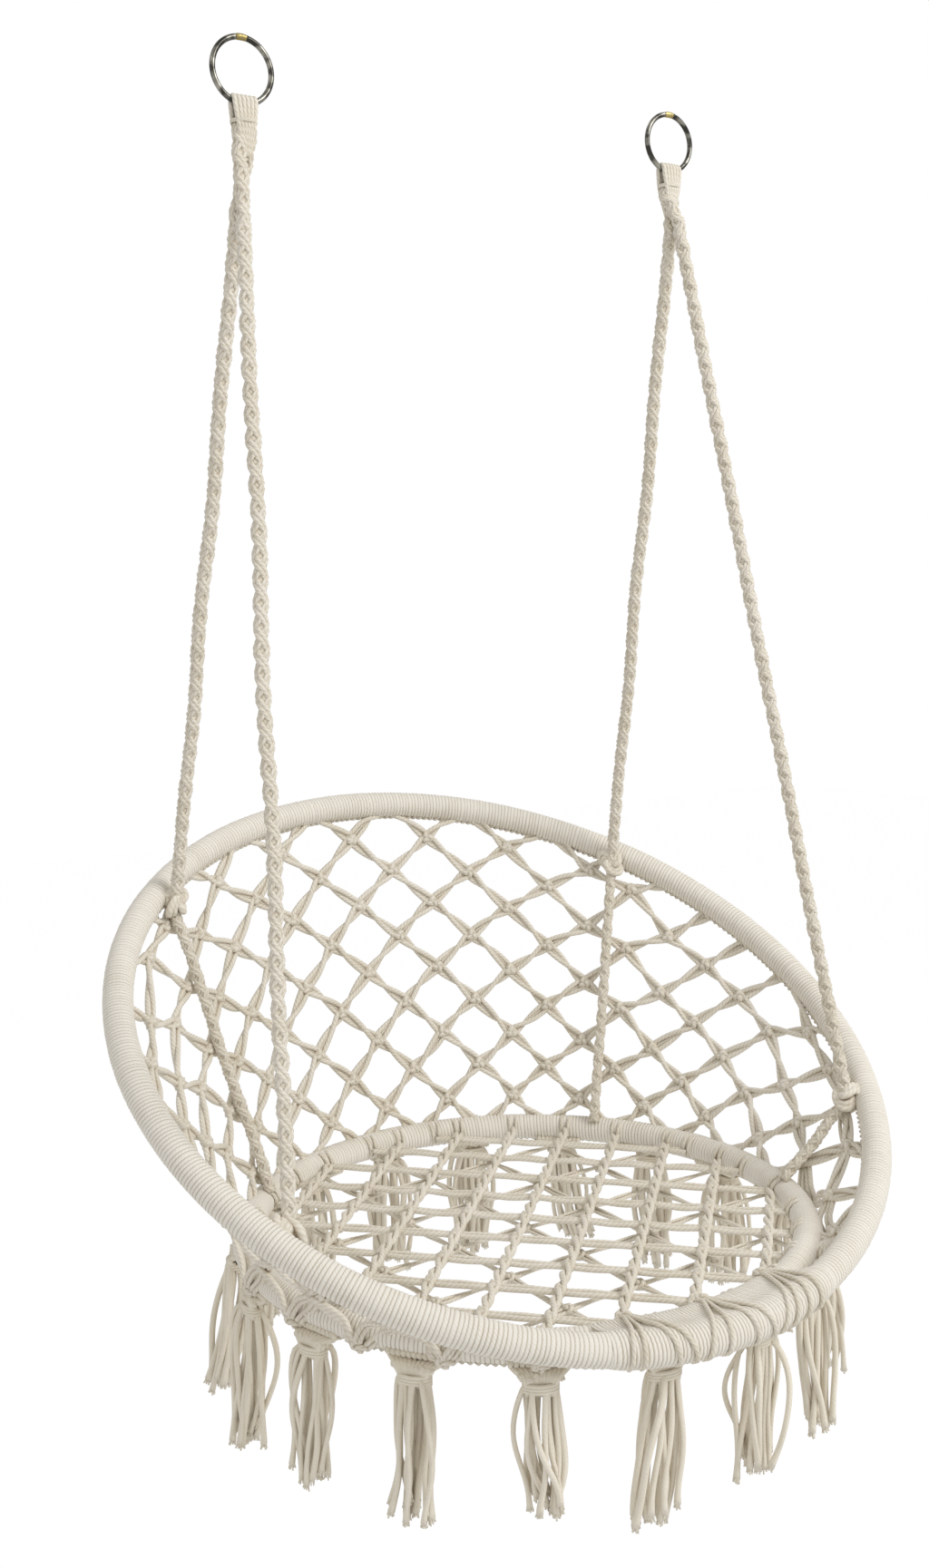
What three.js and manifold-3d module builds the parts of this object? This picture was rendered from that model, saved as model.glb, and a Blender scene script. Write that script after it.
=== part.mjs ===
// Hanging hammock chair: two rope-wrapped steel hoops joined by a knotted back net,
// a knotted seat net inside the lower hoop, tassels under it, and four ropes that
// meet in pairs at two steel rings. All lengths are in millimetres, +Z is up, the
// chair faces -Y, and the origin is midway between the tops of the rings' insides,
// where two hooks hold the chair.
import * as THREE from 'three';
import { mergeVertices } from 'three/addons/utils/BufferGeometryUtils.js';
import Module from 'manifold-3d';

const wasm = await Module();
wasm.setup();

// General clearance between pieces that touch
const SEAT_GAP = 0.3;

// Steel hoop tube and its wound cotton cover
const TUBE_RADIUS = 11;
const TUBE_WALL = 1.2;
const WRAP_THICKNESS = 3.4;
const WRAP_FIT = 0.6;
const TUBE_BUTT_GAP = 1;
const WRAP_BUTT_GAP = 1;
const WRAP_RADIUS = TUBE_RADIUS + WRAP_FIT + WRAP_THICKNESS;

// Seat hoop, level, below and a little in front of the hooks
const SEAT_HOOP_RADIUS = 288;
const SEAT_HOOP_DROP = 1139;
const SEAT_SET_FORWARD = 28;

// Back hoop, tilted up towards the back and lashed to the seat hoop at the front
const BACK_HOOP_RADIUS = 400;
const BACK_HOOP_TILT = THREE.MathUtils.degToRad(29.4);
const FRONT_STEP_UP = 2;
const FRONT_HOOP_GAP = 2.2;

// Hanging rings
const RING_RADIUS = 28.5;
const RING_WIRE_RADIUS = 2.7;
const RING_LEFT_X = -263;
const RING_RIGHT_X = 223;
const SEAM_HALF_LENGTH = 5;
const SEAM_EXTRA_RADIUS = 0.3;

// Rope eyes over the rings and the ropes' legs
const EYE_ROPE_RADIUS = 5.6;
const EYE_FOLD_FIT = 0.9;
const EYE_PRESS = 0.4;
const EYE_LEFT_LENGTH = 105;
const EYE_RIGHT_LENGTH = 62;
const EYE_SPREAD = 7.5;
const EYE_LEAN = 7.5;
const EYE_SIDES = 6;
const FOLD_STEPS = 4;
const BINDING_HALF_WIDTH = 7.5;
const BINDING_HALF_DEPTH = 11;
const BINDING_LENGTH = 16;
const ROPE_RADIUS = 7.2;
const LEG_PARTING_GAP = 0.5;
const LEG_FRONT_ANGLE = THREE.MathUtils.degToRad(-28.6);
const LEG_REAR_LEFT_ANGLE = THREE.MathUtils.degToRad(135.7);
const LEG_REAR_RIGHT_ANGLE = THREE.MathUtils.degToRad(39.2);

// Knots that tie the ropes to the inside of the back hoop, and the braids below them
const KNOT_ALONG = 20;
const KNOT_TALL = 17;
const KNOT_DEEP = 12.5;
const KNOT_DROP = 15;
const KNOT_NET_GAP = 1.6;
const KNOT_SIDES = 9;
const KNOT_RINGS = 6;
const BRAID_RADIUS = 8;
const BRAID_NET_GAP = 1.2;
const BRAID_KNOT_GAP = 0.6;

// Back net: a diamond mesh on the surface that joins the two hoops
const NET_STEP = THREE.MathUtils.degToRad(7.8);
const NET_HALF_STEPS = 20;
const PANEL_STEPS = 4;
const NET_SIDE_PITCH = 35.5;
const NET_BACK_EXTRA_PITCH = 5;
const NET_HALF_WIDTH = 4.4;
const NET_HALF_THICKNESS = 2.1;
const NET_KNOT_BULGE = 2;
const netCornerReachShare = 2.2;
const NET_LEAST_HALF_ANGLE = THREE.MathUtils.degToRad(20);
const PANEL_GAP = 0.3;

// Seat net: a square mesh that lies turned inside the seat hoop
const SEAT_NET_TURN = THREE.MathUtils.degToRad(46);
const CHAIN_PITCH = 62;
const LINE_PITCH = 57;
const SEAT_NET_HALF_WIDTH = 4.2;
const SEAT_NET_HALF_THICKNESS = 2.2;
const SEAT_KNOT_BULGE = 2.2;
const SEAT_NET_END_ROOM = 14;

// Thinner net under the seat net
const UNDER_NET_TURN = THREE.MathUtils.degToRad(4);
const UNDER_NET_PITCH = 88;
const UNDER_NET_DROP = 12;
const UNDER_NET_HALF_WIDTH = 2.6;
const UNDER_NET_HALF_THICKNESS = 1.8;

// Lashing that winds round both hoops at the front
const LASHING_LOOPS = 16;
const LASHING_CORD_RADIUS = 2.4;
const LASHING_START = THREE.MathUtils.degToRad(-111);
const LASHING_END = THREE.MathUtils.degToRad(-69);
const LASHING_HALF_TURN_STEPS = 3;
const LASHING_SIDES = 5;

// Tassels under the seat hoop
const TASSEL_COUNT = 17;
const TASSEL_FIRST_AZIMUTH = THREE.MathUtils.degToRad(-100.5);
const TASSEL_OFFSET = 12;
const TASSEL_LENGTH = 158;
const TASSEL_NECK_TOP_RADIUS = 17;
const TASSEL_NECK_RADIUS = 7;
const TASSEL_NECK_LENGTH = 26;
const TASSEL_STRANDS = 7;
const STRAND_RADIUS = 2.6;
const STRAND_END_RADIUS = 3.2;
const TASSEL_BELLY_RADIUS = 25;
const TASSEL_END_RADIUS = 15;
const tasselHeadShare = 0.4;
const tasselBellyShare = 0.45;
const strandSliceShare = 0.87;

// Counts of facets
const WRAP_SIDES = 10;
const TUBE_SIDES = 6;
const BACK_HOOP_STEPS = 32;
const SEAT_HOOP_STEPS = 26;
const ROPE_SIDES = 8;
const ROPE_STEPS = 2;
const RING_STEPS = 20;
const RING_SIDES = 6;

// Passes with which a net's end finds its place on a hoop
const SETTLE_PASSES = 12;
const RUN_OUT_PASSES = 40;
const settleStepShare = 1.05;
const leastSlopeShare = 0.4;

const UP = new THREE.Vector3(0, 0, 1);
const FRONT_AZIMUTH = -Math.PI / 2;
const BACK_AZIMUTH = Math.PI / 2;

// Colours from the photograph: undyed cotton, polished steel, brazed seam
const COTTON = { color: 0xe4ddcd, roughness: 0.95, metalness: 0 };
const STEEL_TUBE = { color: 0x8d8f91, roughness: 0.5, metalness: 1 };
const RING_STEEL = { color: 0x6f7174, roughness: 0.2, metalness: 1 };
const BRASS = { color: 0xb59a55, roughness: 0.35, metalness: 1 };

const chair = new THREE.Group();

function addPiece(name, geometry, look) {
  const mesh = new THREE.Mesh(geometry, new THREE.MeshStandardMaterial(look));
  mesh.name = name;
  chair.add(mesh);
}

// Closed geometry from points and the corner numbers of its triangles
function closedGeometry(points, faces) {
  const geometry = new THREE.BufferGeometry();
  const flat = points.flatMap((p) => [p.x, p.y, p.z]);
  geometry.setAttribute('position', new THREE.Float32BufferAttribute(flat, 3));
  geometry.setIndex(faces);
  return geometry;
}

// A geometry as a solid for cutting and joining
function toSolid(geometry) {
  const bare = geometry.clone();
  bare.deleteAttribute('normal');
  bare.deleteAttribute('uv');
  const merged = mergeVertices(bare);
  const mesh = new wasm.Mesh({
    numProp: 3,
    vertProperties: new Float32Array(merged.attributes.position.array),
    triVerts: new Uint32Array(merged.index.array),
  });
  return new wasm.Manifold(mesh);
}

function fromSolid(solid) {
  const mesh = solid.getMesh();
  const geometry = new THREE.BufferGeometry();
  const position = new THREE.BufferAttribute(new Float32Array(mesh.vertProperties), 3);
  geometry.setAttribute('position', position);
  geometry.setIndex(new THREE.BufferAttribute(new Uint32Array(mesh.triVerts), 1));
  return geometry;
}

// The two hoops as circles with a centre, a radius and a tilt about X
const hoopFrontY = -SEAT_HOOP_RADIUS - 2 * WRAP_RADIUS - FRONT_HOOP_GAP;
const seatCentre = new THREE.Vector3(0, -SEAT_SET_FORWARD, -SEAT_HOOP_DROP);
const backCentre = new THREE.Vector3(
  0,
  seatCentre.y + hoopFrontY + BACK_HOOP_RADIUS * Math.cos(BACK_HOOP_TILT),
  seatCentre.z + FRONT_STEP_UP + BACK_HOOP_RADIUS * Math.sin(BACK_HOOP_TILT),
);

// Corners of a hoop's centre line, starting beside its butt joint at the front
function hoopCorners(centre, radius, tilt, steps, buttGap) {
  const halfGap = buttGap / 2 / radius;
  const arc = 2 * Math.PI - 2 * halfGap;
  const corners = [];
  for (let j = 0; j <= steps; j += 1) {
    const t = FRONT_AZIMUTH + halfGap + (arc * j) / steps;
    const out = new THREE.Vector3(
      Math.cos(t),
      Math.sin(t) * Math.cos(tilt),
      Math.sin(t) * Math.sin(tilt),
    );
    corners.push({ point: centre.clone().addScaledVector(out, radius), out });
  }
  return corners;
}

function makeHoop(centre, radius, tilt, steps) {
  const axis = new THREE.Vector3(0, -Math.sin(tilt), Math.cos(tilt));
  const corners = hoopCorners(centre, radius, tilt, steps, WRAP_BUTT_GAP);
  return { centre, radius, tilt, steps, axis, corners };
}

const seatHoop = makeHoop(seatCentre, SEAT_HOOP_RADIUS, 0, SEAT_HOOP_STEPS);
const backHoop = makeHoop(backCentre, BACK_HOOP_RADIUS, BACK_HOOP_TILT, BACK_HOOP_STEPS);

// Ring of points round one corner of a hoop
function hoopRing(corner, axis, radius, sides) {
  const ring = [];
  for (let i = 0; i < sides; i += 1) {
    const a = (2 * Math.PI * i) / sides;
    ring.push(corner.point.clone()
      .addScaledVector(corner.out, radius * Math.cos(a))
      .addScaledVector(axis, radius * Math.sin(a)));
  }
  return ring;
}

// Pipe along a hoop, open at its butt joint
function hoopPipe(hoop, outerRadius, innerRadius, sides, buttGap) {
  const corners = hoopCorners(hoop.centre, hoop.radius, hoop.tilt, hoop.steps, buttGap);
  const points = [];
  for (const corner of corners) {
    points.push(...hoopRing(corner, hoop.axis, outerRadius, sides));
    points.push(...hoopRing(corner, hoop.axis, innerRadius, sides));
  }
  const stride = 2 * sides;
  const faces = [];
  for (let j = 0; j + 1 < corners.length; j += 1) {
    for (let i = 0; i < sides; i += 1) {
      const next = (i + 1) % sides;
      const a = j * stride + i;
      const b = j * stride + next;
      const c = a + stride;
      const d = b + stride;
      faces.push(a, b, d, a, d, c);
      faces.push(a + sides, d + sides, b + sides, a + sides, c + sides, d + sides);
    }
  }
  const last = (corners.length - 1) * stride;
  for (let i = 0; i < sides; i += 1) {
    const next = (i + 1) % sides;
    faces.push(i, i + sides, next, next, i + sides, next + sides);
    faces.push(last + i, last + next, last + i + sides);
    faces.push(last + next, last + next + sides, last + i + sides);
  }
  return closedGeometry(points, flipIfInside(points, faces));
}

// Turns every triangle round if the closed surface points inwards
function flipIfInside(points, faces) {
  let volume = 0;
  const cross = new THREE.Vector3();
  for (let i = 0; i < faces.length; i += 3) {
    cross.crossVectors(points[faces[i + 1]], points[faces[i + 2]]);
    volume += points[faces[i]].dot(cross);
  }
  if (volume > 0) return faces;
  const turned = [];
  for (let i = 0; i < faces.length; i += 3) turned.push(faces[i], faces[i + 2], faces[i + 1]);
  return turned;
}

// Closed ring round a hoop's whole centre line, used to cut what sits on the hoop
function hoopCutter(hoop, radius) {
  const { corners, axis } = hoop;
  const points = corners.flatMap((corner) => hoopRing(corner, axis, radius, WRAP_SIDES));
  const faces = [];
  for (let j = 0; j < corners.length; j += 1) {
    const here = j * WRAP_SIDES;
    const there = ((j + 1) % corners.length) * WRAP_SIDES;
    for (let i = 0; i < WRAP_SIDES; i += 1) {
      const next = (i + 1) % WRAP_SIDES;
      faces.push(here + i, here + next, there + next, here + i, there + next, there + i);
    }
  }
  return toSolid(closedGeometry(points, flipIfInside(points, faces)));
}

// Point and direction of a hoop's centre line at an azimuth about the seat's middle
function hoopAt(hoop, azimuth) {
  const side = new THREE.Vector3(-Math.sin(azimuth), Math.cos(azimuth), 0);
  const ahead = new THREE.Vector3(Math.cos(azimuth), Math.sin(azimuth), 0);
  const { corners } = hoop;
  const sideOf = (corner) => corner.point.clone().sub(seatCentre).dot(side);
  const crossing = corners.findIndex((corner, j) => {
    const next = corners[(j + 1) % corners.length];
    const isAhead = corner.point.clone().sub(seatCentre).dot(ahead) > 0;
    return isAhead && sideOf(corner) <= 0 && sideOf(next) > 0;
  });
  const from = corners[Math.max(crossing, 0)];
  const to = corners[(Math.max(crossing, 0) + 1) % corners.length];
  const point = from.point.clone().lerp(to.point, sideOf(from) / (sideOf(from) - sideOf(to)));
  return { point, along: to.point.clone().sub(from.point).normalize() };
}

// Least distance from a point to a hoop's centre line
function hoopDistance(hoop, point) {
  const { corners } = hoop;
  const line = new THREE.Line3();
  const near = new THREE.Vector3();
  let least = Infinity;
  for (let j = 0; j < corners.length; j += 1) {
    line.set(corners[j].point, corners[(j + 1) % corners.length].point);
    line.closestPointToPoint(point, true, near);
    least = Math.min(least, near.distanceTo(point));
  }
  return least;
}

// Moves a point along a direction until it stands clear of a hoop
function settle(point, away, hoop, clear) {
  const settled = point.clone();
  for (let n = 0; n < SETTLE_PASSES; n += 1) {
    const short = clear - hoopDistance(hoop, settled);
    if (short <= 0) return settled;
    settled.addScaledVector(away, short * settleStepShare);
  }
  return settled;
}

// Tube with flat ends along a curve
function tube(curve, radius, sides, steps) {
  const outline = new THREE.Shape();
  for (let i = 0; i < sides; i += 1) {
    const a = (2 * Math.PI * i) / sides;
    if (i === 0) outline.moveTo(radius, 0);
    else outline.lineTo(radius * Math.cos(a), radius * Math.sin(a));
  }
  const options = { steps, bevelEnabled: false, extrudePath: curve };
  const geometry = new THREE.ExtrudeGeometry(outline, options);
  geometry.deleteAttribute('normal');
  geometry.deleteAttribute('uv');
  return mergeVertices(geometry);
}

function straightTube(from, to, radius, sides, steps) {
  return tube(new THREE.LineCurve3(from, to), radius, sides, steps);
}

// Closed slab along the lines of a net. Each knot has a point, a normal and, where a
// straight edge cuts it, the edge's two directions; each link joins two knots.
function netGeometry(knots, links, halfWidth, halfThickness, bulge) {
  const points = [];
  const faces = [];
  const addPair = (point, normal, half) => {
    points.push(point.clone().addScaledVector(normal, half));
    points.push(point.clone().addScaledVector(normal, -half));
    return points.length - 2;
  };
  const wall = (a, b) => faces.push(a + 1, b + 1, b, a + 1, b, a);
  const mouths = new Map();
  knots.forEach((knot, index) => {
    const spokes = [];
    for (const [a, b] of links) {
      if (a === index) spokes.push(b);
      if (b === index) spokes.push(a);
    }
    const { point, normal } = knot;
    const start = knot.edge ? knot.edge[0] : knots[spokes[0]].point.clone().sub(point);
    const right = start.clone().addScaledVector(normal, -start.dot(normal)).normalize();
    const ahead = new THREE.Vector3().crossVectors(normal, right);
    const angleOf = (v) => {
      const a = Math.atan2(v.dot(ahead), v.dot(right));
      return a < -1e-9 ? a + 2 * Math.PI : a;
    };
    const direction = (a) => right.clone().multiplyScalar(Math.cos(a))
      .addScaledVector(ahead, Math.sin(a));
    const order = spokes
      .map((other) => ({ other, angle: angleOf(knots[other].point.clone().sub(point)) }))
      .sort((a, b) => a.angle - b.angle);
    const corners = [];
    const count = order.length;
    const keepClear = (corner, towards) => {
      if (!knot.hoop) return corner;
      return settle(corner, towards, knot.hoop, knot.clear);
    };
    const reach = (angle) => Math.min(halfWidth / Math.abs(Math.sin(angle)), netCornerReachShare * halfWidth);
    for (let i = 0; i < count; i += 1) {
      const { angle } = order[i];
      const towards = direction(angle);
      if (i === 0 && knot.edge) {
        const corner = point.clone().addScaledVector(right, reach(angle));
        corners.push(addPair(keepClear(corner, towards), normal, halfThickness));
      }
      if (i + 1 < count || !knot.edge) {
        const next = i + 1 < count ? order[i + 1].angle : order[0].angle + 2 * Math.PI;
        const half = (next - angle) / 2;
        const far = halfWidth / Math.sin(Math.max(half, NET_LEAST_HALF_ANGLE));
        const corner = point.clone().addScaledVector(direction(angle + half), far);
        corners.push(addPair(corner, normal, halfThickness));
      } else {
        const end = knot.edge[1].clone();
        end.addScaledVector(normal, -end.dot(normal)).normalize();
        const endAngle = angleOf(end);
        const corner = point.clone().addScaledVector(end, reach(endAngle - angle));
        corners.push(addPair(keepClear(corner, towards), normal, halfThickness));
      }
    }
    const middle = addPair(point, normal, knot.edge ? halfThickness : halfThickness + bulge);
    order.forEach(({ other }, i) => {
      const before = knot.edge ? corners[i] : corners[(i + count - 1) % count];
      const after = knot.edge ? corners[i + 1] : corners[i];
      mouths.set(`${index}:${other}`, { before, after });
      faces.push(middle, before, after, middle + 1, after + 1, before + 1);
    });
    if (knot.edge) {
      wall(middle, corners[0]);
      wall(corners[corners.length - 1], middle);
    }
  });
  for (const [a, b] of links) {
    const here = mouths.get(`${a}:${b}`);
    const there = mouths.get(`${b}:${a}`);
    faces.push(here.before, there.after, there.before, here.before, there.before, here.after);
    faces.push(here.before + 1, there.before + 1, there.after + 1);
    faces.push(here.before + 1, here.after + 1, there.before + 1);
    wall(here.before, there.after);
    wall(there.before, here.after);
  }
  return closedGeometry(points, faces);
}

// The straight line between the hoops at an azimuth, from the seat hoop to the back hoop
function ruling(azimuth) {
  const low = hoopAt(seatHoop, azimuth);
  const high = hoopAt(backHoop, azimuth);
  const rise = high.point.clone().sub(low.point);
  const length = rise.length();
  const climb = rise.divideScalar(length);
  const around = new THREE.Vector3(-Math.sin(azimuth), Math.cos(azimuth), 0);
  const normal = new THREE.Vector3().crossVectors(around, climb).normalize();
  return { low, high, length, climb, around, normal };
}

const netAzimuth = (k) => BACK_AZIMUTH + k * NET_STEP;

// Rows of the net that fit in the height at one column
function rowsAt(k) {
  const azimuth = netAzimuth(k);
  const backness = Math.max(0, Math.sin(azimuth)) ** 4;
  const pitch = NET_SIDE_PITCH + NET_BACK_EXTRA_PITCH * backness;
  return Math.max(1, Math.round(ruling(azimuth).length / pitch));
}

const odd = (n) => Math.abs(n) % 2 === 1;

// One panel of the back net, between two of its columns
function netPanel(first, last) {
  const knots = [];
  const links = [];
  const numbers = new Map();
  const hoopClear = WRAP_RADIUS + SEAT_GAP;
  const nudge = (k) => {
    if (k === first) return PANEL_GAP / 2;
    return k === last ? -PANEL_GAP / 2 : 0;
  };
  const addKnot = (key, knot) => {
    if (!numbers.has(key)) {
      numbers.set(key, knots.length);
      knots.push(knot);
    }
    return numbers.get(key);
  };
  // Edge directions for a knot on the panel's side or on a hoop
  const edgeOf = (k, line, along, place) => {
    const up = line.climb;
    const down = up.clone().negate();
    const back = along ? along.clone().negate() : null;
    if (place === 'low') return [k === last ? up : along, k === first ? up : back];
    if (place === 'high') return [k === first ? down : back, k === last ? down : along];
    if (k === first) return [down, up];
    if (k === last) return [up, down];
    return null;
  };
  const inner = (k, r) => {
    const line = ruling(netAzimuth(k));
    const height = (line.length * r) / rowsAt(k);
    const point = line.low.point.clone().addScaledVector(line.climb, height);
    point.addScaledVector(line.around, nudge(k));
    return addKnot(`${k}:${r}`, { point, normal: line.normal, edge: edgeOf(k, line, null, 'side') });
  };
  const lowEnd = (k) => {
    const line = ruling(netAzimuth(k));
    const start = line.low.point.clone().addScaledVector(line.climb, hoopClear);
    const point = settle(start, line.climb, seatHoop, hoopClear);
    point.addScaledVector(line.around, nudge(k));
    const edge = edgeOf(k, line, line.low.along, 'low');
    return addKnot(`${k}:low`, { point, normal: line.normal, edge, hoop: seatHoop, clear: hoopClear });
  };
  const highEnd = (k) => {
    const line = ruling(netAzimuth(k));
    const down = line.climb.clone().negate();
    const start = line.high.point.clone().addScaledVector(down, hoopClear);
    const point = settle(start, down, backHoop, hoopClear);
    point.addScaledVector(line.around, nudge(k));
    const edge = edgeOf(k, line, line.high.along, 'high');
    return addKnot(`${k}:high`, { point, normal: line.normal, edge, hoop: backHoop, clear: hoopClear });
  };
  const knotAt = (k, r) => (r === 0 ? lowEnd(k) : inner(k, r));
  for (let k = first; k <= last; k += 1) {
    const rows = rowsAt(k);
    for (let r = 0; r < rows; r += 1) {
      if (odd(k + r)) {
        for (const side of [-1, 1]) {
          const next = k + side;
          if (next >= first && next <= last) {
            const nextRows = rowsAt(next);
            if (r + 1 < nextRows) links.push([knotAt(k, r), knotAt(next, r + 1)]);
            else if (r + 1 === nextRows) links.push([knotAt(k, r), highEnd(next)]);
            else links.push([knotAt(k, r), highEnd(k + side / 2)]);
          }
        }
      }
    }
  }
  return netGeometry(knots, links, NET_HALF_WIDTH, NET_HALF_THICKNESS, NET_KNOT_BULGE);
}

// Square net inside the seat hoop, level, with its ends at the hoop's cover
function squareNet(size) {
  const { turn, pitchAcross, pitchAlong, drop, halfWidth, halfThickness, bulge } = size;
  const across = new THREE.Vector3(Math.sin(turn), -Math.cos(turn), 0);
  const along = new THREE.Vector3(Math.cos(turn), Math.sin(turn), 0);
  const level = seatCentre.clone().addScaledVector(UP, -drop);
  const depth = Math.max(drop - halfThickness, 0);
  const coverReach = (azimuth) => {
    const clear = inLashing(azimuth) ? lashingReach : WRAP_RADIUS + SEAT_GAP;
    return Math.sqrt(clear ** 2 - depth ** 2);
  };
  const rimAt = (azimuth) => {
    const { point } = hoopAt(seatHoop, azimuth);
    return Math.hypot(point.x - level.x, point.y - level.y) - coverReach(azimuth);
  };
  const knots = [];
  const links = [];
  const addRim = (point, azimuth) => {
    const { along: tangent } = hoopAt(seatHoop, azimuth);
    const clear = Math.hypot(coverReach(azimuth), drop);
    const edge = [tangent, tangent.clone().negate()];
    knots.push({ point, normal: UP, edge, hoop: seatHoop, clear });
    return knots.length - 1;
  };
  const place = (i, j) => level.clone().addScaledVector(across, i * pitchAcross)
    .addScaledVector(along, j * pitchAlong);
  const azimuthOf = (point) => Math.atan2(point.y - level.y, point.x - level.x);
  const numbers = new Map();
  const most = Math.ceil(SEAT_HOOP_RADIUS / Math.min(pitchAcross, pitchAlong));
  for (let i = -most; i <= most; i += 1) {
    for (let j = -most; j <= most; j += 1) {
      const point = place(i, j);
      const azimuth = azimuthOf(point);
      const out = Math.hypot(point.x - level.x, point.y - level.y);
      const rim = rimAt(azimuth);
      if (out < rim - SEAT_NET_END_ROOM) {
        numbers.set(`${i}:${j}`, { number: knots.length, rim: false });
        knots.push({ point, normal: UP, edge: null });
      } else if (out < rim + SEAT_NET_END_ROOM) {
        const radial = new THREE.Vector3(Math.cos(azimuth), Math.sin(azimuth), 0);
        const seated = level.clone().addScaledVector(radial, rim);
        numbers.set(`${i}:${j}`, { number: addRim(seated, azimuth), rim: true });
      }
    }
  }
  // Where a line of the net leaves its last knot and meets the hoop's cover
  const runOut = (from, heading) => {
    const point = knots[from].point.clone();
    for (let n = 0; n < RUN_OUT_PASSES; n += 1) {
      const azimuth = azimuthOf(point);
      const radial = new THREE.Vector3(Math.cos(azimuth), Math.sin(azimuth), 0);
      const left = rimAt(azimuth) - Math.hypot(point.x - level.x, point.y - level.y);
      point.addScaledVector(heading, left / Math.max(heading.dot(radial), leastSlopeShare));
    }
    return addRim(point, azimuthOf(point));
  };
  for (const [name, entry] of [...numbers]) {
    const [i, j] = name.split(':').map(Number);
    for (const [di, dj, heading] of [[1, 0, across], [0, 1, along]]) {
      const ahead = numbers.get(`${i + di}:${j + dj}`);
      const behind = numbers.get(`${i - di}:${j - dj}`);
      if (ahead && !(entry.rim && ahead.rim)) links.push([entry.number, ahead.number]);
      if (!ahead && !entry.rim) links.push([entry.number, runOut(entry.number, heading)]);
      if (!behind && !entry.rim) {
        links.push([entry.number, runOut(entry.number, heading.clone().negate())]);
      }
    }
  }
  const used = new Set(links.flat());
  const keep = [];
  const renumber = new Map();
  knots.forEach((knot, number) => {
    if (used.has(number)) {
      renumber.set(number, keep.length);
      keep.push(knot);
    }
  });
  const joined = links.map(([a, b]) => [renumber.get(a), renumber.get(b)]);
  for (const [a, b] of joined) {
    for (const [rim, other] of [[a, b], [b, a]]) {
      const knot = keep[rim];
      if (knot.edge) {
        const inward = keep[other].point.clone().sub(knot.point);
        const { edge } = knot;
        if (new THREE.Vector3().crossVectors(edge[0], inward).z < 0) edge.reverse();
      }
    }
  }
  return netGeometry(keep, joined, halfWidth, halfThickness, bulge);
}

// The lashing's cord lies on a many-sided path just clear of both hoops' covers
const lashingStep = Math.PI / LASHING_HALF_TURN_STEPS;
const lashingRound = (WRAP_RADIUS + SEAT_GAP + LASHING_CORD_RADIUS) / Math.cos(lashingStep / 2);
const lashingReach = lashingRound + LASHING_CORD_RADIUS + SEAT_GAP;

function inLashing(azimuth) {
  return azimuth > LASHING_START - NET_STEP / 2 && azimuth < LASHING_END + NET_STEP / 2;
}

// One unbroken cord that winds round both hoops at the front: half a turn over the
// back hoop's outside, then half a turn under the seat hoop's inside
function lashing() {
  const perHalf = LASHING_HALF_TURN_STEPS + 1;
  const perLoop = 2 * perHalf;
  const count = LASHING_LOOPS * perLoop;
  const samples = [];
  for (let n = 0; n < count; n += 1) {
    const azimuth = LASHING_START + ((LASHING_END - LASHING_START) * n) / count;
    const onBack = n % perLoop < perHalf;
    const turn = -Math.PI / 2 + (n % perHalf) * lashingStep + (onBack ? 0 : Math.PI);
    const low = hoopAt(seatHoop, azimuth).point;
    const high = hoopAt(backHoop, azimuth).point;
    const outward = high.clone().sub(low).normalize();
    const across = new THREE.Vector3(-Math.sin(azimuth), Math.cos(azimuth), 0);
    const lift = new THREE.Vector3().crossVectors(across, outward).normalize();
    samples.push((onBack ? high : low).clone()
      .addScaledVector(outward, lashingRound * Math.cos(turn))
      .addScaledVector(lift, lashingRound * Math.sin(turn)));
  }
  let least = Infinity;
  for (let a = 0; a < samples.length; a += 1) {
    for (let b = a + perHalf; b < samples.length; b += 1) {
      least = Math.min(least, samples[a].distanceTo(samples[b]));
    }
  }
  console.log('lashing, least gap to itself', (least - 2 * LASHING_CORD_RADIUS).toFixed(2));
  return cordAlong(samples, LASHING_CORD_RADIUS, LASHING_SIDES);
}

// Closed cord through given points, its rings turned as little as possible
function cordAlong(samples, radius, sides) {
  const first = samples[1].clone().sub(samples[0]).normalize();
  let side = Math.abs(first.z) < 1 / 2 ? UP.clone() : new THREE.Vector3(0, 1, 0);
  const rings = samples.map((point, n) => {
    const before = samples[Math.max(n - 1, 0)];
    const after = samples[Math.min(n + 1, samples.length - 1)];
    const heading = after.clone().sub(before).normalize();
    side = side.addScaledVector(heading, -side.dot(heading)).normalize();
    const other = new THREE.Vector3().crossVectors(heading, side);
    return circle(point, side, other, radius, sides);
  });
  return skin(rings);
}

function circle(point, side, other, radius, sides) {
  const ring = [];
  for (let i = 0; i < sides; i += 1) {
    const a = (2 * Math.PI * i) / sides;
    ring.push(point.clone().addScaledVector(side, radius * Math.cos(a))
      .addScaledVector(other, radius * Math.sin(a)));
  }
  return ring;
}

// Closed surface over a row of rings with as many points each
function skin(rings) {
  const sides = rings[0].length;
  const points = rings.flat();
  const faces = [];
  for (let n = 0; n + 1 < rings.length; n += 1) {
    for (let i = 0; i < sides; i += 1) {
      const a = n * sides + i;
      const b = n * sides + ((i + 1) % sides);
      faces.push(a, b, b + sides, a, b + sides, a + sides);
    }
  }
  const last = (rings.length - 1) * sides;
  for (let i = 1; i + 1 < sides; i += 1) {
    faces.push(0, i + 1, i, last, last + i, last + i + 1);
  }
  return closedGeometry(points, flipIfInside(points, faces));
}

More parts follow.
